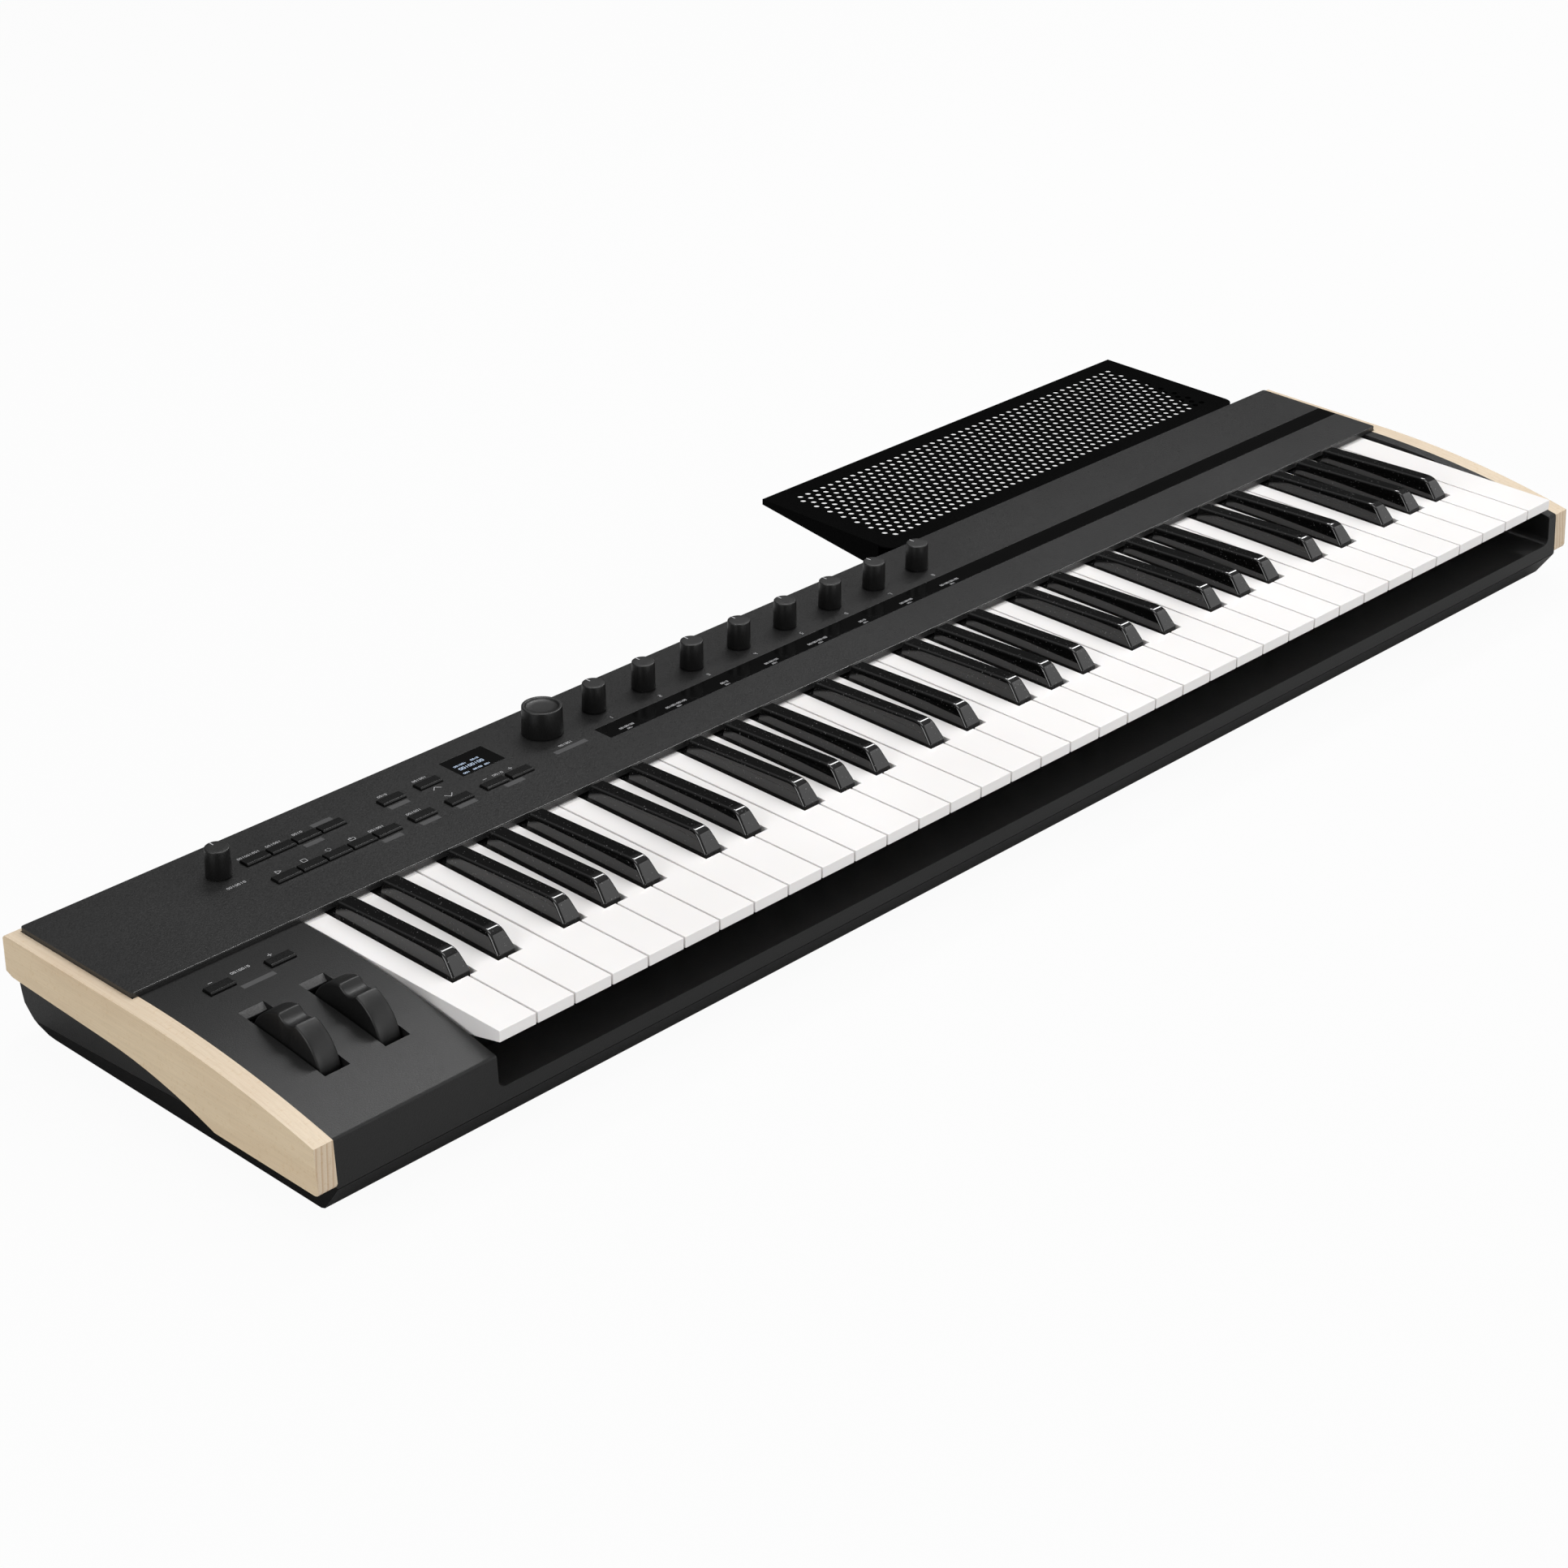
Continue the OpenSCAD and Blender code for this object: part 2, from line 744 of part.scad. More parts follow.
// The small knobs have a pointer notch in the rear edge of the top
module small_knob(x, y) {
    top = panel_top + knob_h;
    color(knob_grey)
        in_place()
            translate([x, y, 0])
                difference() {
                    knob_body(knob_d);
                    block([-notch_knob_w / 2, knob_d / 2 - 2.6, top - 1.2], [notch_knob_w / 2, knob_d, top + 1]);
                }
}

module volume_knob() {
    small_knob(volume_x, volume_y);
}

module control_knob(i) {
    small_knob(knob_x(i), knob_y);
}

module value_knob() {
    top = panel_top + knob_h;
    color(knob_grey)
        in_place()
            translate([value_x, knob_y, 0])
                difference() {
                    knob_body(value_knob_d);
                    post(0, 0, top - value_dish_depth, top + 1, value_dish_r);
                }
}

// Wheels

module wheel(x) {
    r = wheel_d / 2;
    w = wheel_w / 2;
    c = wheel_chamfer;
    color(knob_grey)
        in_place()
            translate([x, wheel_y, wheel_z])
                difference() {
                    union() {
                        rotate([0, 90, 0])
                            rotate_extrude($fn = 2 * round_fn)
                                polygon([
                                    [0, -w], [r - 2 * c, -w], [r - 0.6 * c, -w + 0.4 * c], [r, -w + c],
                                    [r, w - c], [r - 0.6 * c, w - 0.4 * c], [r - 2 * c, w], [0, w]
                                ]);
                        rod_x(-w - hub_w, w + hub_w, 0, 0, axle_r + 2);
                    }
                    rod_x(-w - 5, w + 5, 0, 0, axle_r + shaft_clearance);
                    rotate([groove_lean, 0, 0])
                        rod_x(-w - 1, w + 1, 0, r - groove_depth + groove_r - 0.3, groove_r);
                }
}

module wheel_bracket() {
    floor_z = case_bottom_z + pan_t;
    side = wheel_w / 2 + hub_w + 0.4;
    x0 = wheel_x[0] - side - bracket_t;
    x1 = wheel_x[1] + side + bracket_t;
    half = bracket_d / 2;
    plates = [
        [x0, x0 + bracket_t], [wheel_x[0] + side, wheel_x[0] + side + bracket_t],
        [wheel_x[1] - side - bracket_t, wheel_x[1] - side], [x1 - bracket_t, x1]
    ];
    color(steel)
        in_place()
            union() {
                block([x0, wheel_y - half, floor_z], [x1, wheel_y + half, floor_z + bracket_t]);
                for (p = plates)
                    along_x([
                        [wheel_y - half, floor_z], [wheel_y - 6, wheel_z + 3.6], [wheel_y - 3, wheel_z + 5.4],
                        [wheel_y + 3, wheel_z + 5.4], [wheel_y + 6, wheel_z + 3.6], [wheel_y + half, floor_z]
                    ], p[0], p[1]);
                rod_x(x0, x1, wheel_y, wheel_z, axle_r);
            }
}

// Keys

// The rear end of a key from x0 to x1: an open clip round the pivot bar
module key_clip(x0, x1) {
    difference() {
        union() {
            block([x0, key_end_y - eps, -key_h], [x1, pivot_y, pivot_z + clip_r]);
            rod_x(x0, x1, pivot_y, pivot_z, clip_r);
        }
        rod_x(x0 - 1, x1 + 1, pivot_y, pivot_z, pivot_r + pivot_clearance);
        block([x0 - 1, pivot_y - clip_mouth / 2, -key_h - 1], [x1 + 1, pivot_y + clip_mouth / 2, pivot_z]);
    }
}

// A white key. n is its place in the octave, 0 for C; plain leaves the right side whole, as on the last key.
module white_key(n, plain = false) {
    x0 = n * key_pitch + key_gap / 2;
    x1 = (n + 1) * key_pitch - key_gap / 2;
    left = n == 0 ? undef : black_offset[n - 1];
    right = plain ? undef : black_offset[n];
    tail_x0 = is_undef(left) ? x0 : n * key_pitch + left + notch_w / 2;
    tail_x1 = is_undef(right) ? x1 : (n + 1) * key_pitch + right - notch_w / 2;
    difference() {
        union() {
            along_x([
                [0, 0], [0, -lip_h], [lip_slope_y, -key_h], [notch_front_y, -key_h], [notch_front_y, 0]
            ], x0, x1);
            block([tail_x0, notch_front_y - 1, -key_h], [tail_x1, key_end_y, 0]);
        }
        block([x0 + key_wall, lip_t, -key_h - 1], [x1 - key_wall, notch_front_y - key_wall, -key_skin]);
        block([tail_x0 + key_wall, notch_front_y - key_wall - 1, -key_h - 1],
              [tail_x1 - key_wall, rib_y0, -key_skin]);
        block([tail_x0 + key_wall, rib_y1, -key_h - 1], [tail_x1 - key_wall, key_end_y - 2, -key_skin]);
    }
    key_clip(tail_x0, tail_x1);
}

// A black key at the right boundary of white key n: a tapered cap over a hollow body
module sharp_key(n) {
    x = (n + 1) * key_pitch + black_offset[n];
    w = black_w / 2;
    t = black_top_w / 2;
    f = black_front_y;
    difference() {
        intersection() {
            along_x([
                [f, -key_h], [f, 0], [f + 0.72 * black_slope_y, black_h - 1.9],
                [f + 0.9 * black_slope_y, black_h - 0.75], [f + 1.15 * black_slope_y, black_h - 0.15],
                [f + 1.45 * black_slope_y, black_h], [black_rear_y, black_h - black_rear_drop],
                [black_rear_y + 1, -0.4], [key_end_y, -0.4], [key_end_y, -key_h]
            ], x - w, x + w);
            along_y([
                [x - w, -key_h], [x - w, 0], [x - t - 0.3, black_h - 1], [x - t + 0.6, black_h + 0.1],
                [x + t - 0.6, black_h + 0.1], [x + t + 0.3, black_h - 1], [x + w, 0], [x + w, -key_h]
            ], f - 1, key_end_y + 1);
        }
        block([x - w + key_wall, f + 3, -key_h - 1], [x + w - key_wall, rib_y0, -key_skin]);
        block([x - w + key_wall, rib_y1, -key_h - 1], [x + w - key_wall, key_end_y - 2, -key_skin]);
    }
    key_clip(x - w, x + w);
}

module white_keys(n) {
    color(key_white)
        in_place() {
            for (o = [0:octaves - 1])
                translate([o * octave_w, 0, 0])
                    white_key(n);
            if (n == 0)
                translate([octaves * octave_w, 0, 0])
                    white_key(0, plain = true);
        }
}

module sharp_keys(n) {
    color(key_black)
        in_place()
            for (o = [0:octaves - 1])
                translate([o * octave_w, 0, 0])
                    sharp_key(n);
}

// Key action

module key_chassis() {
    x0 = well_x0 + chassis_margin;
    x1 = well_x1 - chassis_margin;
    rear = pivot_y + clip_r + 0.6;
    rib_t = 0.8;
    rib_x = (black_w + notch_w) / 4;
    rib = [
        [pivot_y - pivot_r, pivot_z - 2.5], [pivot_y - pivot_r, pivot_z + 1], [pivot_y, pivot_z + pivot_r],
        [rear + 1, pivot_z + pivot_r], [rear + 1, pivot_z - 8]
    ];
    color(case_black)
        in_place()
            union() {
                block([x0, rail_d + 1, chassis_z0], [x1, rear + 2, chassis_z1]);
                block([x0, rear, chassis_z0], [x1, rear + 2, pivot_z + pivot_r]);
                rod_x(x0, x1, pivot_y, pivot_z, pivot_r);
                along_x(rib, x0, x0 + 1);
                along_x(rib, x1 - 1, x1);
                for (x = sharp_middles) {
                    along_x(rib, x - rib_x - rib_t / 2, x - rib_x + rib_t / 2);
                    along_x(rib, x + rib_x - rib_t / 2, x + rib_x + rib_t / 2);
                    block([x - guide_w / 2, sharp_guide_y[0], chassis_z0 + 1],
                          [x + guide_w / 2, sharp_guide_y[1], guide_top_z]);
                }
                for (x = white_middles)
                    block([x - guide_w / 2, white_guide_y[0], chassis_z0 + 1],
                          [x + guide_w / 2, white_guide_y[1], guide_top_z]);
                for (i = [0:octaves])
                    block([i * octave_w + 1, contact_y[0] + 2, case_bottom_z + pan_t],
                          [i * octave_w + 9, contact_y[1] - 2, contact_z[0]]);
            }
}

module contact_board() {
    color(board_green)
        in_place()
            block([well_x0 + 2, contact_y[0], contact_z[0]], [well_x1 - 2, contact_y[1], contact_z[1]]);
}

module contact_rubber() {
    strip_top = contact_z[1] + pad_strip_t;
    color(rubber_grey)
        in_place()
            union() {
                block([well_x0 + 4, pad_strip_y[0], contact_z[1]], [well_x1 - 4, pad_strip_y[1], strip_top]);
                for (x = concat(white_middles, sharp_middles))
                    post(x, (rib_y0 + rib_y1) / 2, strip_top - eps, pad_top_z, pad_r);
            }
}

// Back of the case

module connector_plate() {
    low = connector_z - plate_h / 2;
    high = connector_z + plate_h / 2;
    y0 = case_depth - wall - plate_t;
    color(panel_black)
        in_place()
            difference() {
                block([plate_x0 - plate_overlap, y0, low - plate_overlap / 3],
                      [plate_x1 + plate_overlap, y0 + plate_t, high + plate_overlap / 3]);
                for (x = jack_x)
                    rod_y(x, y0 - 1, y0 + plate_t + 1, connector_z, jack_bushing_r + 0.1);
                for (x = din_x)
                    rod_y(x, y0 - 1, y0 + plate_t + 1, connector_z, din_r + 0.1);
                block([usb_x - usb_size[0] / 2 - 0.1, y0 - 1, connector_z - usb_size[1] / 2 - 0.1],
                      [usb_x + usb_size[0] / 2 + 0.1, y0 + plate_t + 1, connector_z + usb_size[1] / 2 + 0.1]);
            }
}

module connectors() {
    y1 = case_depth - wall - plate_t;
    face = case_depth - 1;
    color(key_black)
        in_place() {
            for (x = jack_x)
                difference() {
                    union() {
                        translate([x - jack_body[0] / 2, y1 - jack_body[1], connector_z - jack_body[2] / 2])
                            cube(jack_body);
                        rod_y(x, y1 - 1, face, connector_z, jack_bushing_r);
                    }
                    rod_y(x, face - jack_bore_l, face + 1, connector_z, jack_bore_r);
                }
            for (x = din_x)
                difference() {
                    union() {
                        translate([x - din_body[0] / 2, y1 - din_body[1], connector_z - din_body[2] / 2])
                            cube(din_body);
                        rod_y(x, y1 - 1, face, connector_z, din_r);
                    }
                    rod_y(x, face - din_bore_l, face + 1, connector_z, din_bore_r);
                }
            difference() {
                block([usb_x - usb_size[0] / 2, y1 - 6, connector_z - usb_size[1] / 2],
                      [usb_x + usb_size[0] / 2, y1 + plate_t, connector_z + usb_size[1] / 2]);
                block([usb_x - usb_size[0] / 2 + 0.4, y1 - 5, connector_z - usb_size[1] / 2 + 0.4],
                      [usb_x + usb_size[0] / 2 - 0.4, y1 + 5, connector_z + usb_size[1] / 2 - 0.4]);
            }
        }
}

// A bent sheet: a perforated top with rounded front corners, tapered side flanges, a rear lip and hanging tabs
module tray() {
    under = panel_top - tray_t;
    r = tray_corner_r;
    inner_w = tray_w - 2 * tray_margin;
    holes = floor(inner_w / tray_hole_pitch - 0.5);
    first_x = tray_x0 + (tray_w - (holes - 0.5) * tray_hole_pitch) / 2;
    flange = [
        [tray_flange_y, panel_top], [tray_back_y, panel_top], [tray_back_y, 0.7],
        [tray_flange_y + tray_t + 0.1, -11.2], [tray_flange_y, -11.5]
    ];
    color(panel_black)
        in_place()
            difference() {
                union() {
                    block([tray_x0 + r, tray_y0, under], [tray_x1 - r, tray_back_y, panel_top]);
                    block([tray_x0, tray_y0 + r, under], [tray_x1, tray_back_y, panel_top]);
                    post(tray_x0 + r, tray_y0 + r, under, panel_top, r);
                    post(tray_x1 - r, tray_y0 + r, under, panel_top, r);
                    along_x(flange, tray_x0, tray_x0 + tray_t);
                    along_x(flange, tray_x1 - tray_t, tray_x1);
                    block([tray_x0, tray_back_y - tray_t, panel_top - tray_lip_h],
                          [tray_x1, tray_back_y, panel_top]);
                    block([tray_x0, tray_flange_y, -11.3], [tray_x1, tray_flange_y + tray_t, panel_top]);
                    for (x = tray_screw_x)
                        block([x - tray_hang_w / 2, tray_flange_y, tray_hang_z],
                              [x + tray_hang_w / 2, tray_flange_y + tray_t, 0]);
                }
                for (row = [0:tray_rows - 1])
                    for (i = [0:holes - 1])
                        post(first_x + (i + (row % 2 == 0 ? 0.5 : 0)) * tray_hole_pitch,
                             tray_first_row_y + row * tray_row_pitch + 0.001, under - 1, panel_top + 1,
                             tray_hole_d / 2);
                for (x = tray_screw_x)
                    rod_y(x, tray_flange_y - 1, tray_flange_y + tray_t + 1, tray_screw_z, screw_r + screw_fit);
            }
}

module keys_c() { white_keys(0); }
module keys_d() { white_keys(1); }
module keys_e() { white_keys(2); }
module keys_f() { white_keys(3); }
module keys_g() { white_keys(4); }
module keys_a() { white_keys(5); }
module keys_b() { white_keys(6); }
module keys_c_sharp() { sharp_keys(0); }
module keys_d_sharp() { sharp_keys(1); }
module keys_f_sharp() { sharp_keys(3); }
module keys_g_sharp() { sharp_keys(4); }
module keys_a_sharp() { sharp_keys(5); }

upper_case();
bottom_pan();
top_panel();
cheek_left();
cheek_right();
display_window();
strip_window();
panel_board();
rotary_encoders();
tact_switches();
key_chassis();
contact_board();
contact_rubber();
wheel_bracket();
connector_plate();
connectors();
rubber_feet();
screws();
tray();
keys_c();
keys_c_sharp();
keys_d();
keys_d_sharp();
keys_e();
keys_f();
keys_f_sharp();
keys_g();
keys_g_sharp();
keys_a();
keys_a_sharp();
keys_b();
wheel(wheel_x[0]);  // pitch_wheel
wheel(wheel_x[1]);  // mod_wheel
volume_knob();
value_knob();
control_knob(1);  // knob_1
control_knob(2);  // knob_2
control_knob(3);  // knob_3
control_knob(4);  // knob_4
control_knob(5);  // knob_5
control_knob(6);  // knob_6
control_knob(7);  // knob_7
control_knob(8);  // knob_8
octave_button(octave_buttons[0]);  // button_octave_down
octave_button(octave_buttons[1]);  // button_octave_up
panel_button(panel_buttons[0]);  // button_settings
panel_button(panel_buttons[1]);  // button_write
panel_button(panel_buttons[2]);  // button_exit
panel_button(panel_buttons[3]);  // button_shift
panel_button(panel_buttons[4]);  // button_arp
panel_button(panel_buttons[5]);  // button_value_up
panel_button(panel_buttons[6]);  // button_play
panel_button(panel_buttons[7]);  // button_stop
panel_button(panel_buttons[8]);  // button_record
panel_button(panel_buttons[9]);  // button_loop
panel_button(panel_buttons[10]);  // button_tempo
panel_button(panel_buttons[11]);  // button_chord
panel_button(panel_buttons[12]);  // button_value_down
panel_button(panel_buttons[13]);  // button_page_left
panel_button(panel_buttons[14]);  // button_page_right
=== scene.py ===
import json
import math

import bmesh
import bpy
from mathutils import Matrix, Vector
from mathutils.bvhtree import BVHTree


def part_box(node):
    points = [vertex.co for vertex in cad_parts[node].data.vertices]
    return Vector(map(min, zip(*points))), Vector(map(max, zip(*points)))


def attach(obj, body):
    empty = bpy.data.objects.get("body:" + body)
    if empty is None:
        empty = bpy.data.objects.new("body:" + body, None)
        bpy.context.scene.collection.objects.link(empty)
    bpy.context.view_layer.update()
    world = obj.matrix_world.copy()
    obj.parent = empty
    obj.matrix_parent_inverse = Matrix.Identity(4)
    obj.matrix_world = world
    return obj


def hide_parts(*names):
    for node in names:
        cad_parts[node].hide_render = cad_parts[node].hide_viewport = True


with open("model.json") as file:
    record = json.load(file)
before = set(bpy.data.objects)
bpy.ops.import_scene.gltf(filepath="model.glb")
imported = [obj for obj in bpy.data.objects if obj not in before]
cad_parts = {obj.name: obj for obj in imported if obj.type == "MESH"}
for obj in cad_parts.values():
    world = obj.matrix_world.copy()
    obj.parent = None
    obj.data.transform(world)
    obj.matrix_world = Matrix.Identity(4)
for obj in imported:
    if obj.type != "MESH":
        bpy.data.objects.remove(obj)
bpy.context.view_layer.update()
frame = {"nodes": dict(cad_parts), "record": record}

nodes = frame["nodes"]
MM = 0.001

# The keyboard's own datum: x from the left edge of the lowest key, y back from the key fronts,
# z up from the key tops
KEY_GAP = 1.2
low_c, high_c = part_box("keys_c")
DATUM = Vector((low_c.x - KEY_GAP / 2 * MM, low_c.y, high_c.z))


def at(x, y, z=0.0):
    """A point given in millimetres from the keyboard's datum, in the frame."""
    return DATUM + Vector((x, y, z)) * MM


# Shader helpers

class Shader:
    """A node material with a Principled surface, and short calls for the nodes that feed it."""

    def __init__(self, name):
        self.mat = bpy.data.materials.new(name)
        self.mat.use_nodes = True
        self.tree = self.mat.node_tree
        self.tree.nodes.clear()
        out = self.add("ShaderNodeOutputMaterial")
        self.bsdf = self.add("ShaderNodeBsdfPrincipled")
        self.link(self.bsdf, "BSDF", out, "Surface")
        self.place = self.add("ShaderNodeTexCoord")

    def add(self, kind, **settings):
        n = self.tree.nodes.new(kind)
        for key, value in settings.items():
            setattr(n, key, value)
        return n

    def link(self, a, out, b, into):
        self.tree.links.new(a.outputs[out], b.inputs[into])

    def set(self, **values):
        for key, value in values.items():
            self.bsdf.inputs[key.replace("_", " ")].default_value = value

    def scaled(self, size):
        """Object coordinates stretched by size, in metres of the frame."""
        m = self.add("ShaderNodeMapping")
        m.inputs["Scale"].default_value = size
        self.link(self.place, "Object", m, "Vector")
        return m

    def noise(self, scale, detail=2.0, rough=0.5, size=(1.0, 1.0, 1.0)):
        n = self.add("ShaderNodeTexNoise")
        n.inputs["Scale"].default_value = scale
        n.inputs["Detail"].default_value = detail
        n.inputs["Roughness"].default_value = rough
        self.link(self.scaled(size), "Vector", n, "Vector")
        return n

    def ramp(self, source, out, stops):
        r = self.add("ShaderNodeValToRGB")
        while len(r.color_ramp.elements) < len(stops):
            r.color_ramp.elements.new(0.5)
        for e, (place, colour) in zip(r.color_ramp.elements, stops):
            e.position = place
            e.color = (*colour, 1.0)
        self.link(source, out, r, "Fac")
        return r

    def span(self, source, out, low, high, a=0.0, b=1.0):
        m = self.add("ShaderNodeMapRange")
        m.inputs["From Min"].default_value = a
        m.inputs["From Max"].default_value = b
        m.inputs["To Min"].default_value = low
        m.inputs["To Max"].default_value = high
        self.link(source, out, m, "Value")
        return m

    def squared(self, source, out):
        m = self.add("ShaderNodeMath", operation="POWER")
        m.inputs[1].default_value = 2.0
        self.link(source, out, m, 0)
        return m

    def mixed(self, kind, amount, first, second):
        """The first outputs of two nodes blended; amount is a number or a node."""
        m = self.add("ShaderNodeMixRGB", blend_type=kind)
        if isinstance(amount, float):
            m.inputs["Fac"].default_value = amount
        else:
            self.link(amount, 0, m, "Fac")
        self.link(first, 0, m, "Color1")
        self.link(second, 0, m, "Color2")
        return m

    def bump(self, source, out, strength, distance):
        b = self.add("ShaderNodeBump")
        b.inputs["Strength"].default_value = strength
        b.inputs["Distance"].default_value = distance
        self.link(source, out, b, "Height")
        return b

    def surface(self, colour, rough, bump=None):
        self.link(colour, "Color", self.bsdf, "Base Color")
        self.link(rough, "Result", self.bsdf, "Roughness")
        if bump is not None:
            self.link(bump, "Normal", self.bsdf, "Normal")
        return self.mat


def grained(name, dark, light, rough, grain, depth, specular=0.3, ior=1.5, spread=0.06):
    """Powder-coated metal or moulded plastic: fine grain, with a little cloud in colour and gloss."""
    s = Shader(name)
    s.set(Specular_IOR_Level=specular, IOR=ior)
    fine = s.noise(grain, 3.0, 0.6)
    cloud = s.noise(9.0, 3.0, 0.55)
    tone = s.ramp(cloud, "Fac", [(0.3, (dark,) * 3), (0.7, (light,) * 3)])
    specks = s.ramp(fine, "Fac", [(0.3, (0.7, 0.7, 0.7)), (0.7, (1.3, 1.3, 1.3))])
    colour = s.mixed("MULTIPLY", 1.0, tone, specks)
    gloss = s.span(fine, "Fac", rough - spread, rough + spread, 0.25, 0.75)
    return s.surface(colour, gloss, s.bump(fine, "Fac", 0.7, depth))


def glossy(name, dark, light, rough, coat=1.0, dust=0.78):
    """Polished plastic or a clear lens over black, with faint smears in the gloss and a little dust."""
    s = Shader(name)
    s.set(Specular_IOR_Level=0.08, Coat_Weight=coat, Coat_Roughness=rough * 0.5)
    smear = s.noise(40.0, 4.0, 0.6)
    wave = s.noise(14.0, 2.0, 0.5)
    specks = s.noise(1300.0, 0.0, 0.4)
    colour = s.ramp(specks, "Fac", [(dust, (dark,) * 3), (dust + 0.03, (light,) * 3)])
    gloss = s.span(smear, "Fac", rough * 0.7, rough * 1.5, 0.3, 0.7)
    return s.surface(colour, gloss, s.bump(wave, "Fac", 0.25, 0.00006))


def ivory(name):
    """Satin white key plastic with a soft warmth and a very fine texture."""
    s = Shader(name)
    s.set(Subsurface_Weight=0.06, Subsurface_Radius=(0.004, 0.003, 0.002), Subsurface_Scale=0.3)
    s.set(Coat_Weight=0.2, Coat_Roughness=0.2, Specular_IOR_Level=0.35)
    cloud = s.noise(12.0, 3.0, 0.5)
    fine = s.noise(700.0, 2.0, 0.5)
    colour = s.ramp(cloud, "Fac", [(0.3, (0.865, 0.845, 0.835)), (0.7, (0.895, 0.878, 0.87))])
    gloss = s.span(cloud, "Fac", 0.30, 0.40, 0.3, 0.7)
    return s.surface(colour, gloss, s.bump(fine, "Fac", 0.12, 0.00004))


def maple(name):
    """Pale maple with upright rings: lines on the top, stripes on the end, a soft figure on the side."""
    s = Shader(name)
    s.set(Specular_IOR_Level=0.35, Coat_Weight=0.1, Coat_Roughness=0.4)
    bend = s.noise(7.0, 3.0, 0.5, (1.0, 0.25, 1.6))
    shift = s.mixed("LINEAR_LIGHT", 0.006, s.scaled((1.0, 0.05, 1.0)), bend)
    rings = s.add("ShaderNodeTexWave", wave_type="RINGS", rings_direction="Y", wave_profile="SAW")
    rings.inputs["Scale"].default_value = 105.0
    rings.inputs["Distortion"].default_value = 0.9
    rings.inputs["Detail"].default_value = 3.0
    rings.inputs["Detail Scale"].default_value = 0.6
    s.link(shift, "Color", rings, "Vector")
    fibre = s.noise(1400.0, 3.0, 0.6, (1.0, 0.03, 1.0))
    rays = s.noise(1500.0, 2.0, 0.5, (0.25, 0.5, 0.35))
    figure = s.noise(20.0, 4.0, 0.55, (1.0, 0.45, 1.2))
    facing = s.add("ShaderNodeNewGeometry")
    split = s.add("ShaderNodeSeparateXYZ")
    s.link(facing, "Normal", split, "Vector")
    end = s.span(s.squared(split, "Y"), "Value", 0.18, 1.0, 0.3, 0.8)
    woods = [(0.25, (0.64, 0.52, 0.385)), (0.5, (0.69, 0.58, 0.44)), (0.8, (0.72, 0.61, 0.465))]
    base = s.ramp(figure, "Fac", woods)
    warm = s.ramp(s.squared(split, "X"), "Value", [(0.2, (1.0, 1.0, 1.0)), (0.8, (1.05, 1.02, 0.93))])
    ring_tones = [(0.0, (1.0, 1.0, 1.0)), (0.55, (0.97, 0.94, 0.91)), (0.9, (0.80, 0.68, 0.58))]
    lines = s.ramp(rings, "Fac", ring_tones + [(1.0, (0.92, 0.86, 0.8))])
    grain = s.ramp(fibre, "Fac", [(0.3, (0.92, 0.90, 0.87)), (0.65, (1.03, 1.02, 1.02))])
    fleck = s.ramp(rays, "Fac", [(0.60, (1.0, 1.0, 1.0)), (0.72, (0.93, 0.88, 0.80))])
    colour = s.mixed("MULTIPLY", end, s.mixed("MULTIPLY", 1.0, base, warm), lines)
    colour = s.mixed("MULTIPLY", 0.8, colour, grain)
    colour = s.mixed("MULTIPLY", 0.9, colour, fleck)
    gloss = s.span(fibre, "Fac", 0.42, 0.54, 0.3, 0.7)
    return s.surface(colour, gloss, s.bump(fibre, "Fac", 0.25, 0.00008))


def brushed(name, colour, rough):
    """Bright metal with fine scratches along X."""
    s = Shader(name)
    s.set(Metallic=1.0)
    scratch = s.noise(1500.0, 2.0, 0.5, (0.02, 1.0, 1.0))
    tone = s.ramp(scratch, "Fac", [(0.3, tuple(c * 0.82 for c in colour)), (0.7, colour)])
    gloss = s.span(scratch, "Fac", rough - 0.08, rough + 0.08, 0.3, 0.7)
    return s.surface(tone, gloss, s.bump(scratch, "Fac", 0.3, 0.00003))


def board(name):
    """Circuit board: solder mask with a faint net of tracks."""
    s = Shader(name)
    tracks = s.add("ShaderNodeTexVoronoi", feature="DISTANCE_TO_EDGE")
    tracks.inputs["Scale"].default_value = 160.0
    s.link(s.place, "Object", tracks, "Vector")
    colour = s.ramp(tracks, "Distance", [(0.04, (0.035, 0.16, 0.08)), (0.08, (0.012, 0.07, 0.035))])
    gloss = s.span(tracks, "Distance", 0.25, 0.4, 0.0, 0.3)
    return s.surface(colour, gloss, s.bump(tracks, "Distance", 0.3, 0.0001))


def ink(name, colour, glow=0.0):
    """Printed ink, slightly uneven, or lit pixels where glow is above 0."""
    s = Shader(name)
    worn = s.noise(2600.0, 2.0, 0.6)
    tone = s.ramp(worn, "Fac", [(0.25, tuple(c * 0.8 for c in colour)), (0.6, colour)])
    s.set(Emission_Strength=glow, Specular_IOR_Level=0.2)
    s.link(tone, "Color", s.bsdf, "Emission Color")
    gloss = s.span(worn, "Fac", 0.5, 0.7, 0.3, 0.7)
    return s.surface(tone, gloss, s.bump(worn, "Fac", 0.2, 0.00002))


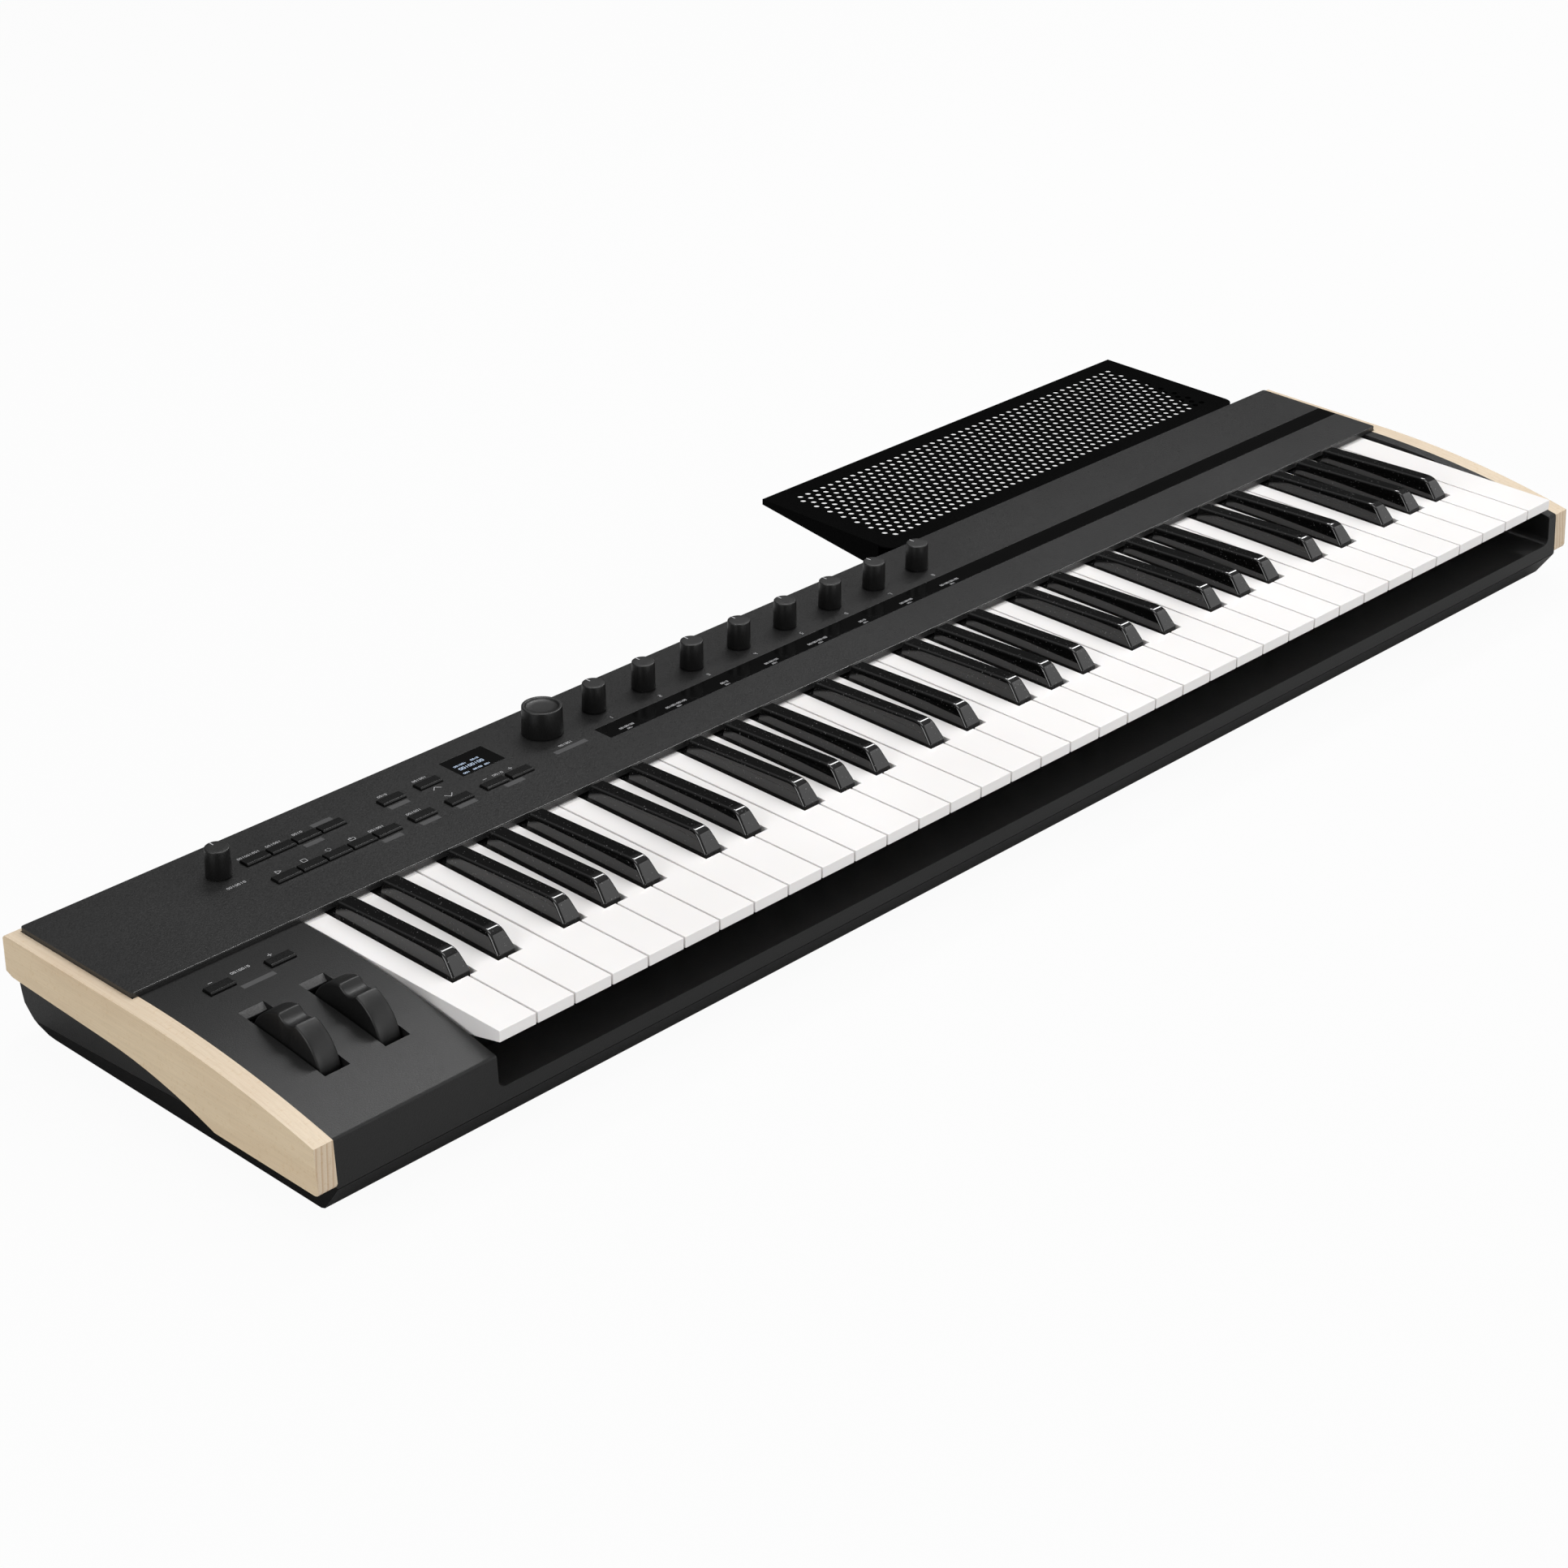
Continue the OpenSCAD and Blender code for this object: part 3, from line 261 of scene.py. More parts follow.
def pale_floor(name):
    """A pale matte floor that keeps a soft, light shadow under the object."""
    s = Shader(name)
    cloud = s.noise(1.3, 3.0, 0.5)
    tone = s.ramp(cloud, "Fac", [(0.3, (0.48, 0.48, 0.48)), (0.7, (0.52, 0.52, 0.52))])
    s.surface(tone, s.span(cloud, "Fac", 0.85, 0.95, 0.3, 0.7))
    out = next(n for n in s.tree.nodes if n.type == "OUTPUT_MATERIAL")
    glow = s.add("ShaderNodeEmission")
    glow.inputs["Color"].default_value = (1.0, 1.0, 1.0, 1.0)
    seen = s.add("ShaderNodeLightPath")
    share = s.span(seen, "Is Camera Ray", 0.0, 0.95)
    mix = s.add("ShaderNodeMixShader")
    s.link(share, "Result", mix, "Fac")
    s.tree.links.new(s.bsdf.outputs["BSDF"], mix.inputs[1])
    s.tree.links.new(glow.outputs["Emission"], mix.inputs[2])
    s.link(mix, "Shader", out, "Surface")
    return s.mat


# One material for each slot of the record, and one each for the panel's bead, a partly painted highlight, and
# for the painted highlight on the wheel slots' rear ledges
MATERIALS = {
    "case_plastic": grained("case_plastic", 0.007, 0.009, 0.42, 1300.0, 0.00012, 0.34),
    "pan_metal": grained("pan_metal", 0.0030, 0.0040, 0.40, 1100.0, 0.00004, 0.3, 1.25),
    "panel_metal": grained("panel_metal", 0.016, 0.021, 0.32, 1100.0, 0.00018, 0.42),
    # painted highlight: a much lighter grey copy of the case plastic, for the lit ledge at the rear of each
    # wheel slot
    "slot_ledge": grained("slot_ledge", 0.095, 0.110, 0.45, 1300.0, 0.00012, 0.4),
    # partly painted highlight: the bead's base is a lighter copy of the panel metal, and glossier so the
    # lamps also shine in it
    "panel_edge": grained("panel_edge", 0.030, 0.036, 0.26, 1100.0, 0.00004, 0.9),
    "tray_metal": grained("tray_metal", 0.0022, 0.0030, 0.32, 1100.0, 0.00006, 0.1, 1.12),
    "plate_metal": grained("plate_metal", 0.012, 0.016, 0.5, 1100.0, 0.00008),
    "black_plastic": grained("black_plastic", 0.008, 0.012, 0.6, 700.0, 0.00008),
    "connector_plastic": grained("connector_plastic", 0.010, 0.014, 0.4, 900.0, 0.00004),
    "knob_plastic": grained("knob_plastic", 0.0024, 0.0036, 0.42, 1500.0, 0.00005, 0.62),
    "button_plastic": grained("button_plastic", 0.003, 0.004, 0.28, 1500.0, 0.00002, 0.35),
    "wheel_rubber": grained("wheel_rubber", 0.0035, 0.0050, 0.44, 1300.0, 0.00005, 0.45),
    "foot_rubber": grained("foot_rubber", 0.010, 0.014, 0.75, 600.0, 0.00012),
    "contact_rubber": grained("contact_rubber", 0.10, 0.13, 0.7, 600.0, 0.00008),
    "display_glass": glossy("display_glass", 0.002, 0.004, 0.05, 0.6, 0.9),
    "strip_glass": glossy("strip_glass", 0.002, 0.004, 0.12, 0.3, 0.9),
    "black_key": glossy("black_key", 0.0025, 0.12, 0.07),
    "white_key": ivory("white_key"),
    "maple": maple("maple"),
    "steel": brushed("steel", (0.62, 0.62, 0.64), 0.32),
    "circuit_board": board("circuit_board"),
}
WHITE_INK = ink("white_ink", (0.50, 0.50, 0.51))
GREY_INK = ink("grey_ink", (0.075, 0.075, 0.076))
LIT_PIXELS = ink("lit_pixels", (0.50, 0.60, 0.74), 0.5)
FAINT_PIXELS = ink("faint_pixels", (0.42, 0.42, 0.43), 0.25)


# CAD nodes: a material from the record's slot, and rounded edges

def dress(node, material):
    """Gives a CAD node its material."""
    data = nodes[node].data
    data.materials.clear()
    data.materials.append(material)


def soften(node, radius, steps=3, angle=30.0):
    """Rounds a CAD node's edges with modifiers: merge split corners, join flat triangles, then bevel."""
    o = nodes[node]
    weld = o.modifiers.new("merge", "WELD")
    weld.merge_threshold = 0.00001
    flat = o.modifiers.new("flat", "DECIMATE")
    flat.decimate_type = "DISSOLVE"
    flat.angle_limit = math.radians(0.3)
    bevelled(o, radius, steps, angle)
    for p in o.data.polygons:
        p.use_smooth = True


def bevelled(o, radius, steps=4, angle=35.0):
    """Adds a bevel to the edges sharper than the angle, and keeps the large faces evenly shaded."""
    edge = o.modifiers.new("edge", "BEVEL")
    edge.width = radius * MM
    edge.segments = steps
    edge.limit_method = "ANGLE"
    edge.angle_limit = math.radians(angle)
    even = o.modifiers.new("normals", "WEIGHTED_NORMAL")
    even.keep_sharp = True


BUTTON_EDGE = 0.32
KEY_EDGE = 0.85
EDGES = {
    "top_panel": 0.5, "upper_case": 0.4, "bottom_pan": 0.5, "cheek_left": 0.7, "cheek_right": 0.7,
    "display_window": 0.12, "strip_window": 0.12, "connector_plate": 0.3,
}

slots = {row["node"]: row["material_slot"] for row in frame["record"]["subparts"]}
for name, slot_name in slots.items():
    dress(name, MATERIALS[slot_name])
    if name.startswith("button_"):
        soften(name, BUTTON_EDGE)
    elif name.startswith("keys_") and "sharp" not in name:
        soften(name, KEY_EDGE)
for name, radius in EDGES.items():
    soften(name, radius)


# Mesh helpers

def piece(name, bm, material, body, smooth=True):
    """Makes an object of the bmesh, with outward normals, and lets it ride on its body."""
    bmesh.ops.recalc_face_normals(bm, faces=bm.faces)
    mesh = bpy.data.meshes.new(name)
    bm.to_mesh(mesh)
    bm.free()
    mesh.materials.append(material)
    for p in mesh.polygons:
        p.use_smooth = smooth
    o = bpy.data.objects.new(name, mesh)
    bpy.context.scene.collection.objects.link(o)
    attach(o, body)
    return o


def prism(bm, outline, low, high):
    """A closed prism: the outline's points, lowered by low and raised by high, in metres."""
    down = [bm.verts.new(p + Vector((0, 0, low))) for p in outline]
    up = [bm.verts.new(p + Vector((0, 0, high))) for p in outline]
    bm.faces.new(down[::-1])
    bm.faces.new(up)
    for i in range(len(outline)):
        j = (i + 1) % len(outline)
        bm.faces.new((down[i], down[j], up[j], up[i]))


def rings_to_mesh(bm, rings):
    """Skins a row of rings with the same number of points, and closes the first and last."""
    made = [[bm.verts.new(p) for p in ring] for ring in rings]
    n = len(made[0])
    for a, b in zip(made, made[1:]):
        for i in range(n):
            j = (i + 1) % n
            bm.faces.new((a[i], a[j], b[j], b[i]))
    bm.faces.new(made[0][::-1])
    bm.faces.new(made[-1])


def sharpen(o, angle):
    """Keeps edges sharper than the angle crisp under smooth shading."""
    o.data.set_sharp_from_angle(angle=math.radians(angle))


def circle(radius, count):
    """Points round a circle about (0, 0)."""
    turns = [2 * math.pi * i / count for i in range(count)]
    return [(radius * math.cos(t), radius * math.sin(t)) for t in turns]


# Black keys

BLACK_FRONT = 48.8
BLACK_HALF = 5.8
BLACK_TAPER = 0.147
BLACK_REAR = 133.7
BLACK_END = 147.0
BLACK_DEPTH = 7.0
BLACK_EDGE = 1.35
NOSE = [
    (0.0, 0.0), (0.25, 0.9), (5.9, 7.5), (7.0, 8.55), (8.3, 9.35), (9.9, 9.9), (11.6, 10.15), (13.6, 10.2),
]


def black_key(bm, x):
    """One black key about x: tapered sides, a sloping nose and a top that falls towards the back."""
    top = [(BLACK_FRONT + y, z) for y, z in NOSE] + [(BLACK_REAR, 7.2), (BLACK_REAR + 1.0, 0.0)]
    base = [(BLACK_REAR + 1.0, 0.0), (BLACK_END, 0.0), (BLACK_END, -BLACK_DEPTH), (BLACK_FRONT, -BLACK_DEPTH)]
    sides = []
    for s in (-1, 1):
        upper = [bm.verts.new(at(x + s * (BLACK_HALF - BLACK_TAPER * z), y, z)) for y, z in top]
        lower = [bm.verts.new(at(x + s * BLACK_HALF, y, z)) for y, z in base[1:]]
        sides.append((upper, lower))
        bm.faces.new(upper)
        bm.faces.new([upper[0], upper[-1]] + lower)
    loops = [upper + lower for upper, lower in sides]
    n = len(loops[0])
    for i in range(n):
        j = (i + 1) % n
        bm.faces.new((loops[0][i], loops[0][j], loops[1][j], loops[1][i]))


def centres(node, gap=20.0):
    """The middle in x of each separate key in a node, in millimetres from the datum."""
    xs = sorted((v.co.x - DATUM.x) / MM for v in nodes[node].data.vertices)
    starts = [xs[0]] + [b for a, b in zip(xs, xs[1:]) if b - a > gap]
    ends = [a for a, b in zip(xs, xs[1:]) if b - a > gap] + [xs[-1]]
    return [(a + b) / 2 for a, b in zip(starts, ends)]


for name in [n for n in slots if n.endswith("_sharp")]:
    bm = bmesh.new()
    for x in centres(name):
        black_key(bm, x)
    o = piece("black_" + name, bm, MATERIALS["black_key"], name)
    bevelled(o, BLACK_EDGE, 5)
    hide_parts(name)


# The rolled front edge of the panel

BEAD_RADIUS = 0.6
BEAD_PROUD = 0.04


def panel_edge():
    """A slim bead along the panel's front upper edge, just proud of both faces, in a lighter, glossier copy
    of the panel metal that is partly painted highlight.
    """
    low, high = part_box("top_panel")
    radius, proud = BEAD_RADIUS * MM, BEAD_PROUD * MM
    ends = (low.x + 2 * radius, high.x - 2 * radius)
    y, z = low.y + radius - proud, high.z - radius + proud
    ring = circle(radius, 24)
    bm = bmesh.new()
    rings_to_mesh(bm, [[Vector((x, y + a, z + b)) for a, b in ring] for x in ends])
    sharpen(piece("panel_edge", bm, MATERIALS["panel_edge"], "case"), 50.0)


# Knobs

KNOB_SEGMENTS = 96
KNOB_TAPER = 0.35
KNOB_EDGE = 0.55
KNOB_FOOT = 0.3
POINTER_HALF = 0.28
# A mark stands INK proud of its face, with its root INK_ROOT below it
INK = 0.03
INK_ROOT = 0.05


def turned(bm, x, y, profile, segments=KNOB_SEGMENTS):
    """A shape turned about an upright axis; the profile's (radius, z) points start and end on the axis."""
    first = bm.verts.new(at(x, y, profile[0][1]))
    last = bm.verts.new(at(x, y, profile[-1][1]))
    rows = [
        [bm.verts.new(at(x + a, y + b, z)) for a, b in circle(r, segments)] for r, z in profile[1:-1]
    ]
    for i in range(segments):
        j = (i + 1) % segments
        bm.faces.new((first, rows[0][j], rows[0][i]))
        bm.faces.new((last, rows[-1][i], rows[-1][j]))
        for a, b in zip(rows, rows[1:]):
            bm.faces.new((a[i], a[j], b[j], b[i]))


def rounded(r, z, radius, start, end, steps=5):
    """Points of a fillet whose centre is (r, z), in a profile."""
    return [
        (r + radius * math.cos(math.radians(start + (end - start) * k / steps)),
         z + radius * math.sin(math.radians(start + (end - start) * k / steps)))
        for k in range(steps + 1)
    ]


def knob(node, dished=False):
    """A slightly tapered knob with a rounded rim, and either a dished top or a pointer mark."""
    low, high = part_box(node)
    middle = (low + high) / 2 - DATUM
    x, y = middle.x / MM, middle.y / MM
    z0, z1 = (low.z - DATUM.z) / MM, (high.z - DATUM.z) / MM - 2 * INK
    r = (high.x - low.x) / 2 / MM - 0.05
    body = [(0.0, z0), (r - KNOB_FOOT, z0), (r, z0 + KNOB_FOOT)]
    body += rounded(r - KNOB_TAPER - KNOB_EDGE, z1 - KNOB_EDGE, KNOB_EDGE, 0, 90)
    if dished:
        rim = 0.80 * r
        body += [(rim + 0.25, z1), (rim, z1 - 0.12), (rim - 0.35, z1 - 0.75), (rim - 0.9, z1 - 1.0),
                 (rim * 0.6, z1 - 1.15), (0.0, z1 - 1.2)]
    else:
        body += [(r * 0.55, z1), (0.0, z1)]
    bm = bmesh.new()
    turned(bm, x, y, body)
    o = piece(node + "_body", bm, MATERIALS["knob_plastic"], node)
    sharpen(o, 50.0)
    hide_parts(node)
    if not dished:
        bm = bmesh.new()
        left, right = x - POINTER_HALF, x + POINTER_HALF
        tail, tip = y + r * 0.42, y + (r - KNOB_TAPER - KNOB_EDGE * 0.6)
        line = [at(left, tail, z1), at(right, tail, z1), at(right, tip, z1), at(left, tip, z1)]
        prism(bm, line, -INK_ROOT * MM, INK * MM)
        piece(node + "_pointer", bm, WHITE_INK, node, smooth=False)


panel_edge()
knob("value_knob", dished=True)
for name in ["volume_knob"] + [f"knob_{i}" for i in range(1, 9)]:
    knob(name)


# Wheels

WHEEL_STEPS = 240
WHEEL_HALF = 6.25
SCOOP_RADIUS = 7.1
SCOOP_OUT = 3.8
SCOOP_LEAN = 6.8
SCOOP_BLENDS = (0.5, 1.4)


def soft_min(a, b, k):
    """The smaller of two numbers, rounded off where they are closer than k."""
    h = min(1.0, max(0.0, 0.5 + 0.5 * (b - a) / k))
    return b * (1 - h) + a * h - k * h * (1 - h)


def wheel(node):
    """A finger wheel: a disc with rounded edges and one smooth hollow, sharper at its front edge."""
    low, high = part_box(node)
    middle = (low + high) / 2 - DATUM
    x, y = middle.x / MM, middle.y / MM
    radius = (high.y - low.y) / 2 / MM
    z = (low.z - DATUM.z) / MM + radius
    half = WHEEL_HALF
    scoop = radius + SCOOP_OUT
    steps = [(-half, -1.1), (-half + 0.15, -0.55), (-half + 0.5, -0.17), (-half + 1.1, 0.0)]
    steps += [(-half + 3.5, 0.05), (0.0, 0.08), (half - 3.5, 0.05)]
    steps += [(-a, b) for a, b in steps[3::-1]]

    def tread(angle):
        a = angle - math.radians(SCOOP_LEAN)
        a = math.atan2(math.sin(a), math.cos(a))
        if abs(math.sin(a)) * scoop >= SCOOP_RADIUS or abs(a) > 1.0:
            return radius
        near = scoop * math.cos(a) - math.sqrt(SCOOP_RADIUS ** 2 - (scoop * math.sin(a)) ** 2)
        return soft_min(radius, near, SCOOP_BLENDS[0] if a > 0 else SCOOP_BLENDS[1])

    bm = bmesh.new()
    rings = []
    hub = -radius * 0.86
    for offset, drop in [(-half, hub)] + steps + [(half, hub)]:
        ring = []
        for i in range(WHEEL_STEPS):
            angle = 2 * math.pi * i / WHEEL_STEPS
            r = tread(angle) + drop
            ring.append(at(x + offset, y - r * math.sin(angle), z + r * math.cos(angle)))
        rings.append(ring)
    rings_to_mesh(bm, rings)
    o = piece(node + "_tread", bm, MATERIALS["wheel_rubber"], node)
    sharpen(o, 40.0)
    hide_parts(node)


wheel("pitch_wheel")
wheel("mod_wheel")


# Printed marks, as thin closed shapes laid on a node's top face

BOX_INK = 0.02


class Printer:
    """Collects marks of one ink on one node's upper face and makes a single piece of them."""

    def __init__(self, node):
        self.bm = bmesh.new()
        probe = bmesh.new()
        probe.from_mesh(nodes[node].data)
        self.tree = BVHTree.FromBMesh(probe)
        probe.free()
        self.node = node

    def on(self, x, y):
        p = at(x, y, 60.0)
        hit = self.tree.ray_cast(p, Vector((0, 0, -1)))[0]
        return hit if hit is not None else at(x, y, 0.0)

    def shape(self, points, height=INK):
        prism(self.bm, [self.on(x, y) for x, y in points], -INK_ROOT * MM, height * MM)

    def bar(self, x0, x1, y0, y1):
        """A filled box, a little thinner than the other marks."""
        self.shape([(x0, y0), (x1, y0), (x1, y1), (x0, y1)], BOX_INK)

    def stroke(self, points, width, closed=False):
        """A line of even width through the points."""
        n = len(points)
        last = n if closed else n - 1
        for i in range(last):
            (x0, y0), (x1, y1) = points[i], points[(i + 1) % n]
            length = math.hypot(x1 - x0, y1 - y0)
            ux, uy = (x1 - x0) / length * width / 2, (y1 - y0) / length * width / 2
            self.shape([(x0 - ux + uy, y0 - uy - ux), (x1 + ux + uy, y1 + uy - ux),
                        (x1 + ux - uy, y1 + uy + ux), (x0 - ux - uy, y0 - uy + ux)])

    def placeholder(self, x0, x1, y0, y1, cell=None, stroke=0.26):
        """A row of small empty boxes and ticks that stands where a word is printed."""
        cell = cell or (y1 - y0) * 0.72
        count = max(1, round((x1 - x0 + cell * 0.3) / (cell * 1.3)))
        step = (x1 - x0 + cell * 0.3) / count
        s = stroke / 2
        for i in range(count):
            a = x0 + i * step
            b = a + step - cell * 0.3
            if i % 3 == 2:
                self.stroke([((a + b) / 2, y0 + s), ((a + b) / 2, y1 - s)], stroke)
            else:
                box = [(a + s, y0 + s), (b - s, y0 + s), (b - s, y1 - s), (a + s, y1 - s)]
                self.stroke(box, stroke, closed=True)

    def finish(self, name, material):
        piece(name, self.bm, material, "case", smooth=False)


# Seven short strokes make each digit: top, upper right, lower right, bottom, lower left, upper left, middle
DIGIT_STROKES = {
    "1": "bc", "2": "abged", "3": "abgcd", "4": "fgbc",
    "5": "afgcd", "6": "afgcde", "7": "abc", "8": "abcdefg",
}


def digit(printer, text, x, y, tall=2.1, wide=1.2, stroke=0.26):
    """One digit about (x, y), drawn with straight strokes."""
    x0, x1 = x - wide / 2, x + wide / 2
    y0, ym, y1 = y - tall / 2, y, y + tall / 2
    segment = {
        "a": [(x0, y1), (x1, y1)], "b": [(x1, y1), (x1, ym)], "c": [(x1, ym), (x1, y0)],
        "d": [(x0, y0), (x1, y0)], "e": [(x0, ym), (x0, y0)], "f": [(x0, y1), (x0, ym)],
        "g": [(x0, ym), (x1, ym)],
    }
    for key in DIGIT_STROKES[text]:
        printer.stroke(segment[key], stroke)


def middle_x(node):
    """The middle of a node in x, in millimetres from the datum."""
    low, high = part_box(node)
    return ((low.x + high.x) / 2 - DATUM.x) / MM


def print_panel():
    """Placeholders for the words, the signs and numbers beside the controls, and the shaded boxes."""
    white = Printer("top_panel")
    words = [
        (11.6, 25.0, 202.2, 203.9), (29.3, 38.5, 202.4, 204.1), (46.0, 52.0, 202.6, 204.3),
        (74.7, 84.2, 178.5, 180.2), (-9.8, 1.3, 182.8, 184.5), (101.0, 106.7, 202.9, 204.6),
        (124.0, 133.0, 203.1, 204.8), (157.3, 164.0, 179.3, 181.0), (99.3, 108.5, 178.6, 180.3),
        (203.0, 212.0, 179.3, 181.0),
    ]
    for word in words:
        white.placeholder(*word)
    white.stroke([(17.0, 178.1), (17.0, 181.1), (20.0, 179.6)], 0.28, closed=True)
    white.stroke([(32.7, 178.1), (35.5, 178.1), (35.5, 180.9), (32.7, 180.9)], 0.28, closed=True)
    white.stroke([(49.2 + a, 179.5 + b) for a, b in circle(1.4, 20)], 0.28, closed=True)
    white.stroke([(62.8, 178.6), (66.2, 178.6), (66.2, 180.8), (62.8, 180.8)], 0.28, closed=True)
    white.stroke([(64.0, 181.5), (64.9, 180.8), (64.0, 180.1)], 0.28)
    white.stroke([(126.1, 189.5), (128.5, 192.1), (130.9, 189.5)], 0.34)
    white.stroke([(126.1, 181.3), (128.5, 178.7), (130.9, 181.3)], 0.34)
    white.stroke([(151.0, 180.3), (153.2, 180.3)], 0.3)
    white.stroke([(168.1, 180.2), (170.3, 180.2)], 0.3)
    white.stroke([(169.2, 179.1), (169.2, 181.3)], 0.3)
    for i in range(1, 9):
        digit(white, str(i), middle_x(f"knob_{i}") - 0.3, 185.0)
    white.finish("panel_marks", WHITE_INK)
    grey = Printer("top_panel")
    boxes = [
        (58.4, 71.2, 202.0, 205.4), (43.4, 54.9, 188.7, 192.0), (98.0, 110.4, 188.9, 192.3),
        (122.7, 134.7, 165.3, 168.7), (154.6, 167.0, 165.5, 168.9), (98.2, 110.2, 165.1, 168.5),
        (73.5, 85.7, 164.8, 168.2), (196.4, 218.4, 174.0, 177.4),
    ]
    for box in boxes:
        grey.bar(*box)
    grey.finish("panel_boxes", GREY_INK)


def print_octave_block():
    """The marks above and beside the two octave buttons."""
    white = Printer("upper_case")
    white.placeholder(-54.8, -44.0, 122.8, 124.5)
    white.stroke([(-67.6, 124.0), (-65.5, 124.0)], 0.3)
    white.stroke([(-32.4, 124.5), (-30.3, 124.5)], 0.3)
    white.stroke([(-31.35, 123.4), (-31.35, 125.6)], 0.3)
    white.finish("octave_marks", WHITE_INK)
    grey = Printer("upper_case")
    grey.bar(-58.1, -39.0, 109.2, 112.4)
    grey.finish("octave_box", GREY_INK)


SLOT_HALF = 7.1
SLOT_REAR = 95.75
LEDGE_DEEP = 2.65


def wheel_ledge_highlights():
    """A painted highlight on the sloped bevel at the rear end of each wheel slot: a light grey bar laid flat
    on the case.
    """
    # painted highlight: light grey bars laid flat on the case at each slot's rear ledge
    ledge = Printer("upper_case")
    for x in (middle_x("pitch_wheel"), middle_x("mod_wheel")):
        ledge.bar(x - SLOT_HALF, x + SLOT_HALF, SLOT_REAR - LEDGE_DEEP, SLOT_REAR)
    ledge.finish("wheel_ledge_highlights", MATERIALS["slot_ledge"])


def print_displays():
    """Lit marks in the small display, and a faint pair of rows under each knob in the long one."""
    lit = Printer("display_window")
    lit.placeholder(149.5, 157.6, 200.4, 201.8, 1.0, 0.22)
    lit.placeholder(160.8, 165.8, 200.4, 201.8, 1.0, 0.22)
    lit.placeholder(150.0, 166.0, 196.2, 198.5, 1.5, 0.30)
    for x0, x1 in [(148.6, 152.6), (155.2, 161.0), (162.8, 166.4)]:
        lit.placeholder(x0, x1, 191.8, 193.1, 1.0, 0.22)
    lit.finish("display_marks", LIT_PIXELS)
    faint = Printer("strip_window")
    for i in range(1, 9):
        x = middle_x(f"knob_{i}") - 1.0
        wide = 2.5 + 2.4 * (i % 3)
        faint.placeholder(x - wide, x + wide, 171.4, 173.0, 1.0, 0.24)
        faint.placeholder(x - 1.8, x + 1.8, 168.9, 170.1, 0.9, 0.2)
    faint.finish("strip_marks", FAINT_PIXELS)


print_panel()
print_octave_block()
wheel_ledge_highlights()
print_displays()


# Camera, lights and floor

def make_camera():
    """A long lens at the player's left, looking down along the keyboard."""
    place = at(-894.45, -1042.57, 854.31)
    heading = math.radians(43.911)
    pitch = math.radians(28.031)
    roll = math.radians(-0.346)
    level = math.cos(pitch)
    forward = Vector((level * math.cos(heading), level * math.sin(heading), -math.sin(pitch)))
    side = Vector((math.sin(heading), -math.cos(heading), 0.0))
    up = side.cross(forward)
    turn = Matrix.Rotation(roll, 3, forward)
    side, up = turn @ side, turn @ up
    data = bpy.data.cameras.new("camera")
    data.lens = 81.97
    data.sensor_width = 36.0
    data.shift_x = -0.0039
    data.shift_y = 0.0013
    data.clip_start = 0.05
    data.clip_end = 50.0
    camera = bpy.data.objects.new("camera", data)
    bpy.context.scene.collection.objects.link(camera)
    camera.matrix_world = Matrix.Translation(place) @ Matrix((side, up, -forward)).transposed().to_4x4()
    bpy.context.scene.camera = camera


def area_light(name, place, target, size, power):
    data = bpy.data.lights.new(name, "AREA")
    data.shape = "RECTANGLE"
    data.size, data.size_y = size
    data.energy = power
    light = bpy.data.objects.new(name, data)
    bpy.context.scene.collection.objects.link(light)
    light.location = place
    light.rotation_euler = (Vector(target) - Vector(place)).to_track_quat("-Z", "Y").to_euler()


